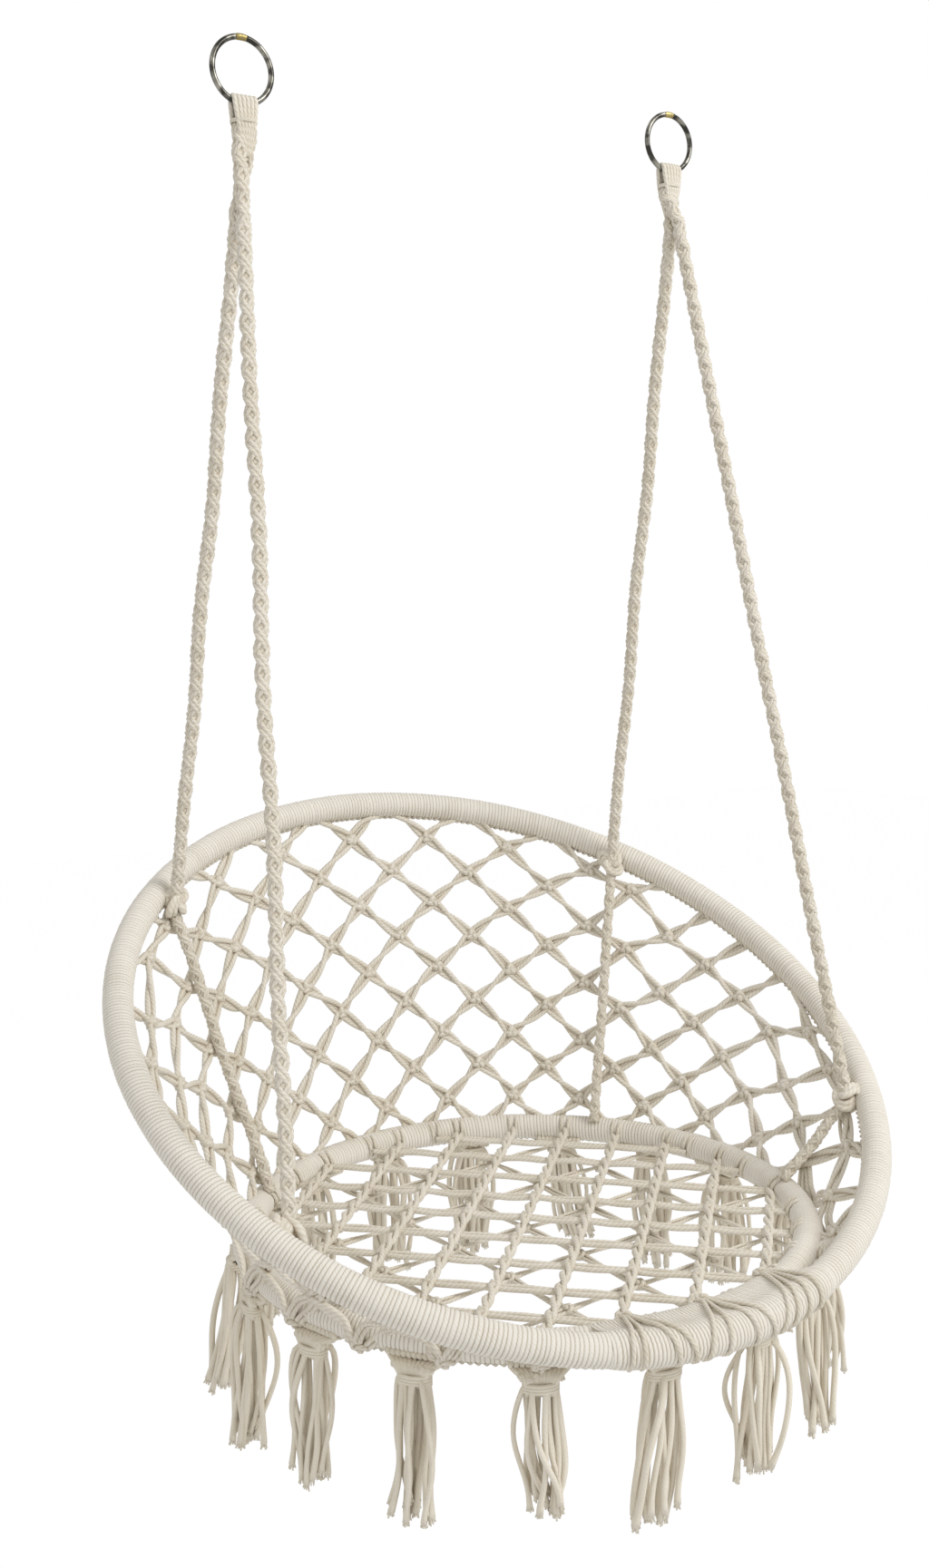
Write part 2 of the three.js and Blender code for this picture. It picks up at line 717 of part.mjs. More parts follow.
// Arc of a hanging ring between two angles from its top
function hangingRing(x, from, to, radius) {
  const middle = new THREE.Vector3(x, 0, -(RING_RADIUS - RING_WIRE_RADIUS));
  const across = new THREE.Vector3(0, 1, 0);
  const rings = [];
  const steps = Math.max(2, Math.round((RING_STEPS * (to - from)) / (2 * Math.PI)));
  for (let n = 0; n <= steps; n += 1) {
    const a = from + ((to - from) * n) / steps;
    const out = new THREE.Vector3(Math.sin(a), 0, Math.cos(a));
    const point = middle.clone().addScaledVector(out, RING_RADIUS);
    rings.push(circle(point, out, across, radius, RING_SIDES));
  }
  return skin(rings);
}

// Two ropes side by side, folded over the ring and bound together below
function ropeEye(x, lean, length) {
  const foldZ = -2 * RING_RADIUS + RING_WIRE_RADIUS;
  const foldStep = Math.PI / FOLD_STEPS;
  const foldFit = RING_WIRE_RADIUS + EYE_FOLD_FIT + EYE_ROPE_RADIUS;
  const foldRadius = foldFit / Math.cos(foldStep / 2);
  const endZ = foldZ - length;
  let eye = null;
  for (const side of [-1, 1]) {
    const topX = x + side * (EYE_ROPE_RADIUS - EYE_PRESS);
    const endX = x + lean + side * (BINDING_HALF_WIDTH - EYE_ROPE_RADIUS);
    const endY = BINDING_HALF_DEPTH - EYE_ROPE_RADIUS;
    const run = (face) => [
      new THREE.Vector3(endX, face * endY, endZ + BINDING_LENGTH / 2),
      new THREE.Vector3(endX, face * endY, endZ + BINDING_LENGTH),
      new THREE.Vector3(topX, face * EYE_SPREAD, foldZ - 2 * EYE_SPREAD),
    ];
    const fold = [];
    for (let n = 0; n <= FOLD_STEPS; n += 1) {
      const a = Math.PI - n * foldStep;
      const y = foldRadius * Math.cos(a);
      fold.push(new THREE.Vector3(topX, y, foldZ + foldRadius * Math.sin(a)));
    }
    const samples = [...run(-1), ...fold, ...run(1).reverse()];
    const rope = toSolid(cordAlong(samples, EYE_ROPE_RADIUS, EYE_SIDES));
    eye = eye ? eye.add(rope) : rope;
  }
  const low = new THREE.Vector3(x + lean, 0, endZ);
  const high = low.clone().addScaledVector(UP, BINDING_LENGTH);
  const wide = new THREE.Vector3(BINDING_HALF_WIDTH, 0, 0);
  const deep = new THREE.Vector3(0, BINDING_HALF_DEPTH, 0);
  const binding = skin([low, high].map((point) => circle(point, wide, deep, 1, 2 * EYE_SIDES)));
  return fromSolid(eye.add(toSolid(binding)));
}

const seatCutter = hoopCutter(seatHoop, WRAP_RADIUS + SEAT_GAP);
const backCutter = hoopCutter(backHoop, WRAP_RADIUS + SEAT_GAP);

// Place of a rope's knot on the inside of the back hoop
function knotPlace(hoopAngle) {
  const on = new THREE.Vector3(
    BACK_HOOP_RADIUS * Math.cos(hoopAngle),
    BACK_HOOP_RADIUS * Math.sin(hoopAngle) * Math.cos(BACK_HOOP_TILT),
    BACK_HOOP_RADIUS * Math.sin(hoopAngle) * Math.sin(BACK_HOOP_TILT),
  ).add(backCentre);
  const azimuth = Math.atan2(on.y - seatCentre.y, on.x - seatCentre.x);
  const line = ruling(azimuth);
  const inward = line.normal.clone().negate();
  const offset = NET_HALF_THICKNESS + NET_KNOT_BULGE + KNOT_NET_GAP + KNOT_DEEP;
  const centre = line.high.point.clone().addScaledVector(inward, offset)
    .addScaledVector(line.climb, -KNOT_DROP);
  return { centre, inward, line, azimuth };
}

// Rope from the binding down to its knot, tied in the rope itself
function ropeLeg(bindingPoint, face, hoopAngle) {
  const { centre, inward, line } = knotPlace(hoopAngle);
  const start = bindingPoint.clone();
  start.y += face * (ROPE_RADIUS + LEG_PARTING_GAP);
  const knot = new THREE.SphereGeometry(1, KNOT_SIDES, KNOT_RINGS);
  const basis = new THREE.Matrix4().makeBasis(
    line.high.along.clone().multiplyScalar(KNOT_ALONG),
    new THREE.Vector3().crossVectors(inward, line.high.along).normalize()
      .multiplyScalar(KNOT_TALL),
    inward.clone().multiplyScalar(KNOT_DEEP),
  );
  knot.applyMatrix4(basis);
  knot.translate(centre.x, centre.y, centre.z);
  const heading = start.clone().sub(centre).normalize();
  const raised = start.clone().addScaledVector(heading, 2 * ROPE_RADIUS);
  const rope = toSolid(straightTube(raised, centre, ROPE_RADIUS, ROPE_SIDES, ROPE_STEPS));
  const trimSize = 8 * ROPE_RADIUS;
  const trim = new THREE.BoxGeometry(trimSize, trimSize, trimSize);
  trim.translate(start.x, start.y, start.z + trimSize / 2);
  const tied = rope.subtract(toSolid(trim)).add(solidOutward(knot));
  return fromSolid(tied.subtract(backCutter));
}

function solidOutward(geometry) {
  const bare = geometry.clone();
  bare.deleteAttribute('normal');
  bare.deleteAttribute('uv');
  const merged = mergeVertices(bare, 1e-4);
  const points = [];
  const position = merged.attributes.position;
  for (let i = 0; i < position.count; i += 1) {
    points.push(new THREE.Vector3().fromBufferAttribute(position, i));
  }
  return toSolid(closedGeometry(points, flipIfInside(points, [...merged.index.array])));
}

// Braid that goes on from the knot, along the inside of the net, to the seat hoop
function lowerBraid(hoopAngle) {
  const { centre, inward, line } = knotPlace(hoopAngle);
  const offset = NET_HALF_THICKNESS + NET_KNOT_BULGE + BRAID_NET_GAP + BRAID_RADIUS;
  const top = centre.clone().addScaledVector(line.climb, -(KNOT_TALL + BRAID_KNOT_GAP));
  const topOffset = centre.clone().sub(line.high.point).dot(inward);
  top.addScaledVector(inward, offset - topOffset);
  const seatClear = WRAP_RADIUS + SEAT_GAP;
  const rise = Math.sqrt(seatClear ** 2 - (offset - BRAID_RADIUS) ** 2);
  const foot = line.low.point.clone().addScaledVector(inward, offset)
    .addScaledVector(line.climb, rise + SEAT_GAP);
  const braid = toSolid(straightTube(foot, top, BRAID_RADIUS, ROPE_SIDES, ROPE_STEPS));
  return fromSolid(braid.subtract(seatCutter));
}

// Tassel: cords gathered under the seat hoop, tied, and left to hang. Its neck is a
// prism, and each strand grows from one slice of the neck's foot.
function tassel(azimuth) {
  const { point } = hoopAt(seatHoop, azimuth);
  const radial = new THREE.Vector3(Math.cos(azimuth), Math.sin(azimuth), 0);
  const around = new THREE.Vector3(-Math.sin(azimuth), Math.cos(azimuth), 0);
  const top = point.clone().addScaledVector(radial, TASSEL_OFFSET);
  const lashed = inLashing(wrapAngle(azimuth));
  const headZ = lashed ? -lashingReach : -WRAP_RADIUS * tasselHeadShare;
  const tieZ = -WRAP_RADIUS - TASSEL_NECK_LENGTH;
  const endZ = -WRAP_RADIUS - TASSEL_LENGTH;
  const points = [];
  const faces = [];
  const put = (a, radius, z) => {
    points.push(top.clone().addScaledVector(radial, radius * Math.cos(a))
      .addScaledVector(around, radius * Math.sin(a)).addScaledVector(UP, z));
    return points.length - 1;
  };
  const sides = TASSEL_STRANDS;
  const angle = (i) => (2 * Math.PI * i) / sides;
  const head = [];
  const tie = [];
  const foot = [];
  for (let i = 0; i < sides; i += 1) {
    head.push(put(angle(i), TASSEL_NECK_TOP_RADIUS, headZ));
    tie.push(put(angle(i), TASSEL_NECK_RADIUS, tieZ));
    foot.push(put(angle(i), TASSEL_NECK_RADIUS, tieZ - TASSEL_NECK_RADIUS));
  }
  const crown = put(0, 0, headZ);
  const middle = put(0, 0, tieZ - TASSEL_NECK_RADIUS);
  const bellyZ = tieZ + (endZ - tieZ) * tasselBellyShare;
  const slice = (a, radius, z, size) => [
    put(a, radius - size, z),
    put(a - (size * strandSliceShare) / radius, radius + size / 2, z),
    put(a + (size * strandSliceShare) / radius, radius + size / 2, z),
  ];
  const wallsBetween = (above, below) => {
    for (let j = 0; j < 3; j += 1) {
      const k = (j + 1) % 3;
      faces.push(above[j], below[j], below[k], above[j], below[k], above[k]);
    }
  };
  for (let i = 0; i < sides; i += 1) {
    const next = (i + 1) % sides;
    faces.push(crown, head[i], head[next]);
    faces.push(head[i], tie[i], tie[next], head[i], tie[next], head[next]);
    faces.push(tie[i], foot[i], foot[next], tie[i], foot[next], tie[next]);
    const root = [middle, foot[i], foot[next]];
    const belly = slice(angle(i + 1 / 2), TASSEL_BELLY_RADIUS, bellyZ, STRAND_RADIUS);
    const end = slice(angle(i + 1 / 2), TASSEL_END_RADIUS, endZ, STRAND_END_RADIUS);
    wallsBetween(root, belly);
    wallsBetween(belly, end);
    faces.push(end[0], end[2], end[1]);
  }
  const solid = toSolid(closedGeometry(points, flipIfInside(points, faces)));
  return fromSolid(lashed ? solid : largestBody(solid.subtract(seatCutter)));
}

function wrapAngle(a) {
  return Math.atan2(Math.sin(a), Math.cos(a));
}

// The largest of the bodies that a cut leaves
function largestBody(solid) {
  const bodies = solid.decompose();
  return bodies.reduce((best, body) => (body.volume() > best.volume() ? body : best));
}

// The pieces
const tubeInner = TUBE_RADIUS - TUBE_WALL;
const wrapInner = TUBE_RADIUS + WRAP_FIT;
for (const [name, hoop] of [['back_hoop', backHoop], ['seat_hoop', seatHoop]]) {
  const steel = hoopPipe(hoop, TUBE_RADIUS, tubeInner, TUBE_SIDES, TUBE_BUTT_GAP);
  const cover = hoopPipe(hoop, WRAP_RADIUS, wrapInner, WRAP_SIDES, WRAP_BUTT_GAP);
  addPiece(`${name}_tube`, steel, STEEL_TUBE);
  addPiece(`${name}_wrap`, cover, COTTON);
}

for (let k = -NET_HALF_STEPS; k < NET_HALF_STEPS; k += PANEL_STEPS) {
  const number = (k + NET_HALF_STEPS) / PANEL_STEPS + 1;
  addPiece(`back_net_${number}`, netPanel(k, k + PANEL_STEPS), COTTON);
}

addPiece('seat_net', squareNet({
  turn: SEAT_NET_TURN,
  pitchAcross: CHAIN_PITCH,
  pitchAlong: LINE_PITCH,
  drop: 0,
  halfWidth: SEAT_NET_HALF_WIDTH,
  halfThickness: SEAT_NET_HALF_THICKNESS,
  bulge: SEAT_KNOT_BULGE,
}), COTTON);
addPiece('seat_net_under', squareNet({
  turn: UNDER_NET_TURN,
  pitchAcross: UNDER_NET_PITCH,
  pitchAlong: UNDER_NET_PITCH,
  drop: UNDER_NET_DROP,
  halfWidth: UNDER_NET_HALF_WIDTH,
  halfThickness: UNDER_NET_HALF_THICKNESS,
  bulge: UNDER_NET_HALF_THICKNESS,
}), COTTON);
addPiece('front_lashing', lashing(), COTTON);

const seamHalfAngle = SEAM_HALF_LENGTH / RING_RADIUS;
const ringHalfAngle = (SEAM_HALF_LENGTH + SEAT_GAP) / RING_RADIUS;
const eyes = [
  ['left', RING_LEFT_X, -EYE_LEAN, EYE_LEFT_LENGTH, Math.PI - LEG_FRONT_ANGLE, LEG_REAR_LEFT_ANGLE],
  ['right', RING_RIGHT_X, EYE_LEAN, EYE_RIGHT_LENGTH, LEG_FRONT_ANGLE, LEG_REAR_RIGHT_ANGLE],
];
for (const [side, x, lean, length, frontAngle, rearAngle] of eyes) {
  const ring = hangingRing(x, ringHalfAngle, 2 * Math.PI - ringHalfAngle, RING_WIRE_RADIUS);
  const seamRadius = RING_WIRE_RADIUS + SEAM_EXTRA_RADIUS;
  addPiece(`ring_${side}`, ring, RING_STEEL);
  addPiece(`ring_seam_${side}`, hangingRing(x, -seamHalfAngle, seamHalfAngle, seamRadius), BRASS);
  addPiece(`rope_eye_${side}`, ropeEye(x, lean, length), COTTON);
  const endZ = -2 * RING_RADIUS + RING_WIRE_RADIUS - length - SEAT_GAP;
  const binding = new THREE.Vector3(x + lean, 0, endZ);
  addPiece(`rope_front_${side}`, ropeLeg(binding, -1, frontAngle), COTTON);
  addPiece(`rope_rear_${side}`, ropeLeg(binding, 1, rearAngle), COTTON);
  addPiece(`braid_front_${side}`, lowerBraid(frontAngle), COTTON);
  addPiece(`braid_rear_${side}`, lowerBraid(rearAngle), COTTON);
}

for (let n = 0; n < TASSEL_COUNT; n += 1) {
  const azimuth = TASSEL_FIRST_AZIMUTH + (2 * Math.PI * n) / TASSEL_COUNT;
  addPiece(`tassel_${n + 1}`, tassel(azimuth), COTTON);
}

export default chair;
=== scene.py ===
"""Hanging hammock chair in undyed cotton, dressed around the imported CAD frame.

Lengths are in millimetres inside the classes and become metres when a mesh is made.
+Z is up and the chair faces -Y.
"""
from __future__ import annotations

import logging
import math
from dataclasses import dataclass, field
from enum import Enum

import bpy
import numpy as np
from mathutils import Matrix

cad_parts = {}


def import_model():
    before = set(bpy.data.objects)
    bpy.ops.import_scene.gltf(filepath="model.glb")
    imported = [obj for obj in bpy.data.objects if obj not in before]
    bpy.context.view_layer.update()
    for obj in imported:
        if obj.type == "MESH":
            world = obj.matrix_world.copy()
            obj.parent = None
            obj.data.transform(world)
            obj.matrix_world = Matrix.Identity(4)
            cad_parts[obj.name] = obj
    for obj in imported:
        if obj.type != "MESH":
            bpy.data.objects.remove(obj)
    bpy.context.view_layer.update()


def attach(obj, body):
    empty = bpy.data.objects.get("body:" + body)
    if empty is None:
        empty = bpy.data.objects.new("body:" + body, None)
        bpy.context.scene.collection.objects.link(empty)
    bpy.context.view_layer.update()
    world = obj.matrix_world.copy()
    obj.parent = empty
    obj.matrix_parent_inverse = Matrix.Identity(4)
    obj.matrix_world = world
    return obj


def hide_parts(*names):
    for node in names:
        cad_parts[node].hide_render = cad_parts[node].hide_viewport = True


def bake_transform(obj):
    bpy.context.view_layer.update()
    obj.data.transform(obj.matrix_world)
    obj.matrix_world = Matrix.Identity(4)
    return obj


log = logging.getLogger("hammock_chair")

MM = 0.001
TAU = 2 * math.pi
Array = np.ndarray
Socket = bpy.types.NodeSocket
UP = np.array([0.0, 0.0, 1.0])
X_AXIS = np.array([1.0, 0.0, 0.0])
CURVE_STEPS = 24


class Body(Enum):
    """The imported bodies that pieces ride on."""

    RINGS = "rings"
    CHAIR = "chair"
    SEAT = "seat"


class Slot(Enum):
    """The record's material slots; no piece made here takes one."""

    COTTON = "cotton"
    RING_STEEL = "ring_steel"
    RING_SEAM = "ring_seam"


def unit(v: Array) -> Array:
    """Vectors scaled to length 1 along the last axis."""
    return v / np.maximum(np.linalg.norm(v, axis=-1, keepdims=True), 1e-12)


def direction(azimuth: float | Array) -> Array:
    """Level unit vector at an azimuth in radians."""
    azimuth = np.asarray(azimuth, float)
    return np.stack([np.cos(azimuth), np.sin(azimuth), np.zeros_like(azimuth)], -1)


def turned(angle: float | Array, first: Array, second: Array) -> Array:
    """Vectors at an angle from the first ones towards the second ones."""
    return np.cos(angle) * first + np.sin(angle) * second


# ---------------------------------------------------------------- surfaces


@dataclass
class Surface:
    """Points, four-cornered faces, groups of flat end faces and the UV of the quads."""

    points: Array
    quads: Array
    ends: list[Array]
    quad_uv: Array

    @staticmethod
    def join(parts: list["Surface"]) -> "Surface":
        """One surface from several."""
        offsets = np.cumsum([0] + [len(p.points) for p in parts[:-1]])
        return Surface(
            np.concatenate([p.points for p in parts]),
            np.concatenate([p.quads + o for p, o in zip(parts, offsets)]),
            [e + o for p, o in zip(parts, offsets) for e in p.ends],
            np.concatenate([p.quad_uv for p in parts]),
        )

    def to_object(self, name: str) -> bpy.types.Object:
        """Makes a mesh object, in metres, from this surface.

        Args:
            name: the object's name.
        Returns:
            The linked object.
        """
        mesh = bpy.data.meshes.new(name)
        groups = [self.quads] + self.ends
        corners = np.concatenate([g.ravel() for g in groups])
        sizes = np.concatenate([np.full(len(g), g.shape[1]) for g in groups])
        starts = np.concatenate([[0], np.cumsum(sizes)[:-1]])
        mesh.vertices.add(len(self.points))
        mesh.vertices.foreach_set("co", (self.points * MM).astype(np.float32).ravel())
        mesh.loops.add(len(corners))
        mesh.loops.foreach_set("vertex_index", corners.astype(np.int32))
        mesh.polygons.add(len(sizes))
        mesh.polygons.foreach_set("loop_start", starts.astype(np.int32))
        uv = np.zeros((len(corners), 2))
        uv[: len(self.quads) * 4] = self.quad_uv.reshape(-1, 2)
        mesh.uv_layers.new(name="around_and_along")
        mesh.uv_layers[0].data.foreach_set("uv", uv.astype(np.float32).ravel())
        mesh.polygons.foreach_set("use_smooth", np.ones(len(mesh.polygons), bool))
        mesh.update(calc_edges=True)
        mesh.validate()
        piece = bpy.data.objects.new(name, mesh)
        bpy.context.scene.collection.objects.link(piece)
        return piece


def grid_surface(points: Array, along: Array, round_path: bool) -> Surface:
    """Closed tube skins over grids of points.

    The grid holds strands, rings along each strand and points round each ring. A
    strand is either closed on itself or ended by two flat faces.

    Args:
        points: array of strands x rings x sides x 3.
        along: length along each strand at each ring, strands x rings.
        round_path: True where the last ring joins the first.
    Returns:
        The surface, with u round the ring and v along it in centimetres.
    """
    strands, rings, sides, _ = points.shape
    numbers = np.arange(strands * rings * sides).reshape(strands, rings, sides)
    if round_path:
        numbers = np.concatenate([numbers, numbers[:, :1]], 1)
        along = np.concatenate([along, along[:, -1:] + along[:, 1:2] - along[:, :1]], 1)
    around = np.concatenate([numbers, numbers[:, :, :1]], 2)
    quads = np.stack(
        [around[:, :-1, :-1], around[:, :-1, 1:], around[:, 1:, 1:], around[:, 1:, :-1]], -1
    )
    v, u = np.broadcast_arrays(along[..., None] / 10, np.arange(sides + 1) / sides)
    where = np.stack([u, v], -1)
    uv = np.stack([where[:, :-1, :-1], where[:, :-1, 1:], where[:, 1:, 1:], where[:, 1:, :-1]], -2)
    ends = [] if round_path else [numbers[:, 0, ::-1], numbers[:, -1]]
    return Surface(points.reshape(-1, 3), quads.reshape(-1, 4), ends, uv.reshape(-1, 4, 2))


def length_along(paths: Array) -> Array:
    """Length from the start of each path to each of its points."""
    steps = np.linalg.norm(np.diff(paths, axis=-2), axis=-1)
    return np.concatenate([np.zeros((*steps.shape[:-1], 1)), np.cumsum(steps, -1)], -1)


def square_axes(paths: Array, side: Array, round_path: bool = False) -> tuple[Array, Array]:
    """Two unit vectors square to each path at each of its points.

    The first is the side vector made square to the path. The second is the path's
    direction crossed with the first.

    Args:
        paths: points, rings x 3 or strands x rings x 3.
        side: side vectors of the same shape.
        round_path: True where a path is closed on itself.
    Returns:
        Both vectors at every point.
    """
    if round_path:
        ahead = unit(np.roll(paths, -1, -2) - np.roll(paths, 1, -2))
    else:
        ahead = unit(np.gradient(paths, axis=-2))
    first = unit(side - (side * ahead).sum(-1, keepdims=True) * ahead)
    return first, np.cross(ahead, first)


def sweep(
    paths: Array, radius: float | Array, side: Array, sides: int = 6, round_path: bool = False
) -> Surface:
    """Tubes along many paths at once, each ring square to its path.

    Args:
        paths: strands x rings x 3.
        radius: one radius, or strands x rings.
        side: a vector, strands x 3, or strands x rings x 3.
        sides: points round each ring.
        round_path: True where a path is closed on itself.
    Returns:
        The surface of all the tubes.
    """
    paths, side = np.asarray(paths, float), np.asarray(side, float)
    if side.ndim == 2:
        side = side[:, None]
    first, second = square_axes(paths, np.broadcast_to(side, paths.shape), round_path)
    angle = np.arange(sides) * TAU / sides
    reach = np.broadcast_to(np.asarray(radius, float), paths.shape[:2])[..., None]
    points = (
        paths[:, :, None]
        + (reach * np.cos(angle))[..., None] * first[:, :, None]
        + (reach * np.sin(angle))[..., None] * second[:, :, None]
    )
    return grid_surface(points, length_along(paths), round_path)


def transported_side(path: Array, start: Array) -> Array:
    """Side vectors carried along one path without twist, ring by ring."""
    ahead = unit(np.gradient(path, axis=0))
    sides = np.empty_like(path)
    current = start
    for n, heading in enumerate(ahead):
        current = current - (current @ heading) * heading
        current = current / np.linalg.norm(current)
        sides[n] = current
    return sides


def smooth_path(corners: Array, count: int) -> Array:
    """Catmull-Rom curve through corner points, at evenly spaced lengths.

    Between two corners the curve is the cubic whose end slopes are half the chord
    between the corners on either side.

    Args:
        corners: corner points, n x 3.
        count: number of points returned.
    Returns:
        count x 3 points.
    """
    c = np.asarray(corners, float)
    padded = np.concatenate([2 * c[:1] - c[1:2], c, 2 * c[-1:] - c[-2:-1]])
    t = np.linspace(0, len(c) - 1, CURVE_STEPS * len(c))
    i = np.minimum(t.astype(int), len(c) - 2)
    s = (t - i)[:, None]
    p0, p1, p2, p3 = (padded[i + n] for n in range(4))
    curve = 0.5 * (
        2 * p1
        + (p2 - p0) * s
        + (2 * p0 - 5 * p1 + 4 * p2 - p3) * s**2
        + (3 * p1 - p0 - 3 * p2 + p3) * s**3
    )
    length = length_along(curve)
    even = np.linspace(0, length[-1], count)
    return np.stack([np.interp(even, length, curve[:, n]) for n in range(3)], -1)


@dataclass(frozen=True)
class Knot:
    """Small knot, one cord that crosses itself three times.

    The cord goes twice round a ring while it weaves three times through it. Its
    distance from the middle is the ring's share plus the weave's share times the
    cosine of three times the parameter, and its height is the rise's share times the
    sine of that. Shares are of the knot's size less its cord's radius.
    """

    size: tuple
    cord: float
    steps: int = 20
    sides: int = 5
    ring: float = 0.62
    weave: float = 0.38
    rise: float = 0.75

    def at(self, centres: Array, frames: Array) -> Surface:
        """All the knots of this kind.

        Args:
            centres: their middles, n x 3.
            frames: their axes as rows, n x 3 x 3.
        Returns:
            The surface of all the knots.
        """
        t = np.arange(self.steps) * TAU / self.steps
        ring = self.ring + self.weave * np.cos(3 * t)
        local = np.stack([ring * np.cos(2 * t), ring * np.sin(2 * t), self.rise * np.sin(3 * t)], -1)
        offset = np.einsum("sk,nkj->nsj", local * (np.asarray(self.size) - self.cord), frames)
        paths = centres[:, None] + offset
        return sweep(paths, self.cord, unit(offset + 1e-6), sides=self.sides, round_path=True)


# ---------------------------------------------------------------- finishes


class NodePen:
    """Short hand for building the node tree of a material or a world."""

    def __init__(self, owner: bpy.types.Material | bpy.types.World) -> None:
        """Turns the owner's nodes on."""
        owner.use_nodes = True
        self.tree = owner.node_tree

    @property
    def shader(self) -> bpy.types.Node:
        """The material's shader."""
        return self.tree.nodes["Principled BSDF"]

    def shade(self, **numbers: float) -> None:
        """Sets numbers on the shader's sockets; an underscore stands for a space."""
        for key, value in numbers.items():
            self.shader.inputs[key.replace("_", " ")].default_value = value

    def add(self, kind: str, **settings: object) -> bpy.types.Node:
        """Adds a node; settings are its properties or the defaults of its inputs."""
        node = self.tree.nodes.new(kind)
        for key, value in settings.items():
            if hasattr(node, key):
                setattr(node, key, value)
            else:
                node.inputs[key].default_value = value
        return node

    def link(self, out: Socket, into: Socket) -> None:
        """Joins two sockets."""
        self.tree.links.new(out, into)

    def math(self, operation: str, a: object, b: object = None) -> Socket:
        """A Math node on sockets or numbers; returns its output."""
        node = self.add("ShaderNodeMath", operation=operation)
        for socket, value in zip(node.inputs, (a, b)):
            if isinstance(value, Socket):
                self.link(value, socket)
            elif value is not None:
                socket.default_value = value
        return node.outputs[0]

    def weighted_sum(self, *terms: tuple[Socket, float]) -> Socket:
        """Sum of sockets, each times its weight."""
        total, *others = (self.math("MULTIPLY", socket, weight) for socket, weight in terms)
        for part in others:
            total = self.math("ADD", total, part)
        return total

    def noise(self, where: Socket, scale: float, detail: float) -> Socket:
        """Noise at a place; returns its value."""
        node = self.add("ShaderNodeTexNoise", Scale=scale, Detail=detail)
        self.link(where, node.inputs["Vector"])
        return node.outputs[0]

    def ramp(self, value: Socket, low: tuple[float, tuple], high: tuple[float, tuple]) -> Socket:
        """Colour between two stops, each a position and a colour."""
        node = self.add("ShaderNodeValToRGB")
        for stop, (position, colour) in zip(node.color_ramp.elements, (low, high)):
            stop.position = position
            stop.color = (*colour, 1)
        self.link(value, node.inputs[0])
        return node.outputs[0]

    def bump(self, height: Socket, strength: float, distance: float, under: Socket = None) -> Socket:
        """Normal of a height, over the normal of another bump where one is given."""
        node = self.add("ShaderNodeBump", Strength=strength, Distance=distance)
        self.link(height, node.inputs["Height"])
        if under:
            self.link(under, node.inputs["Normal"])
        return node.outputs[0]


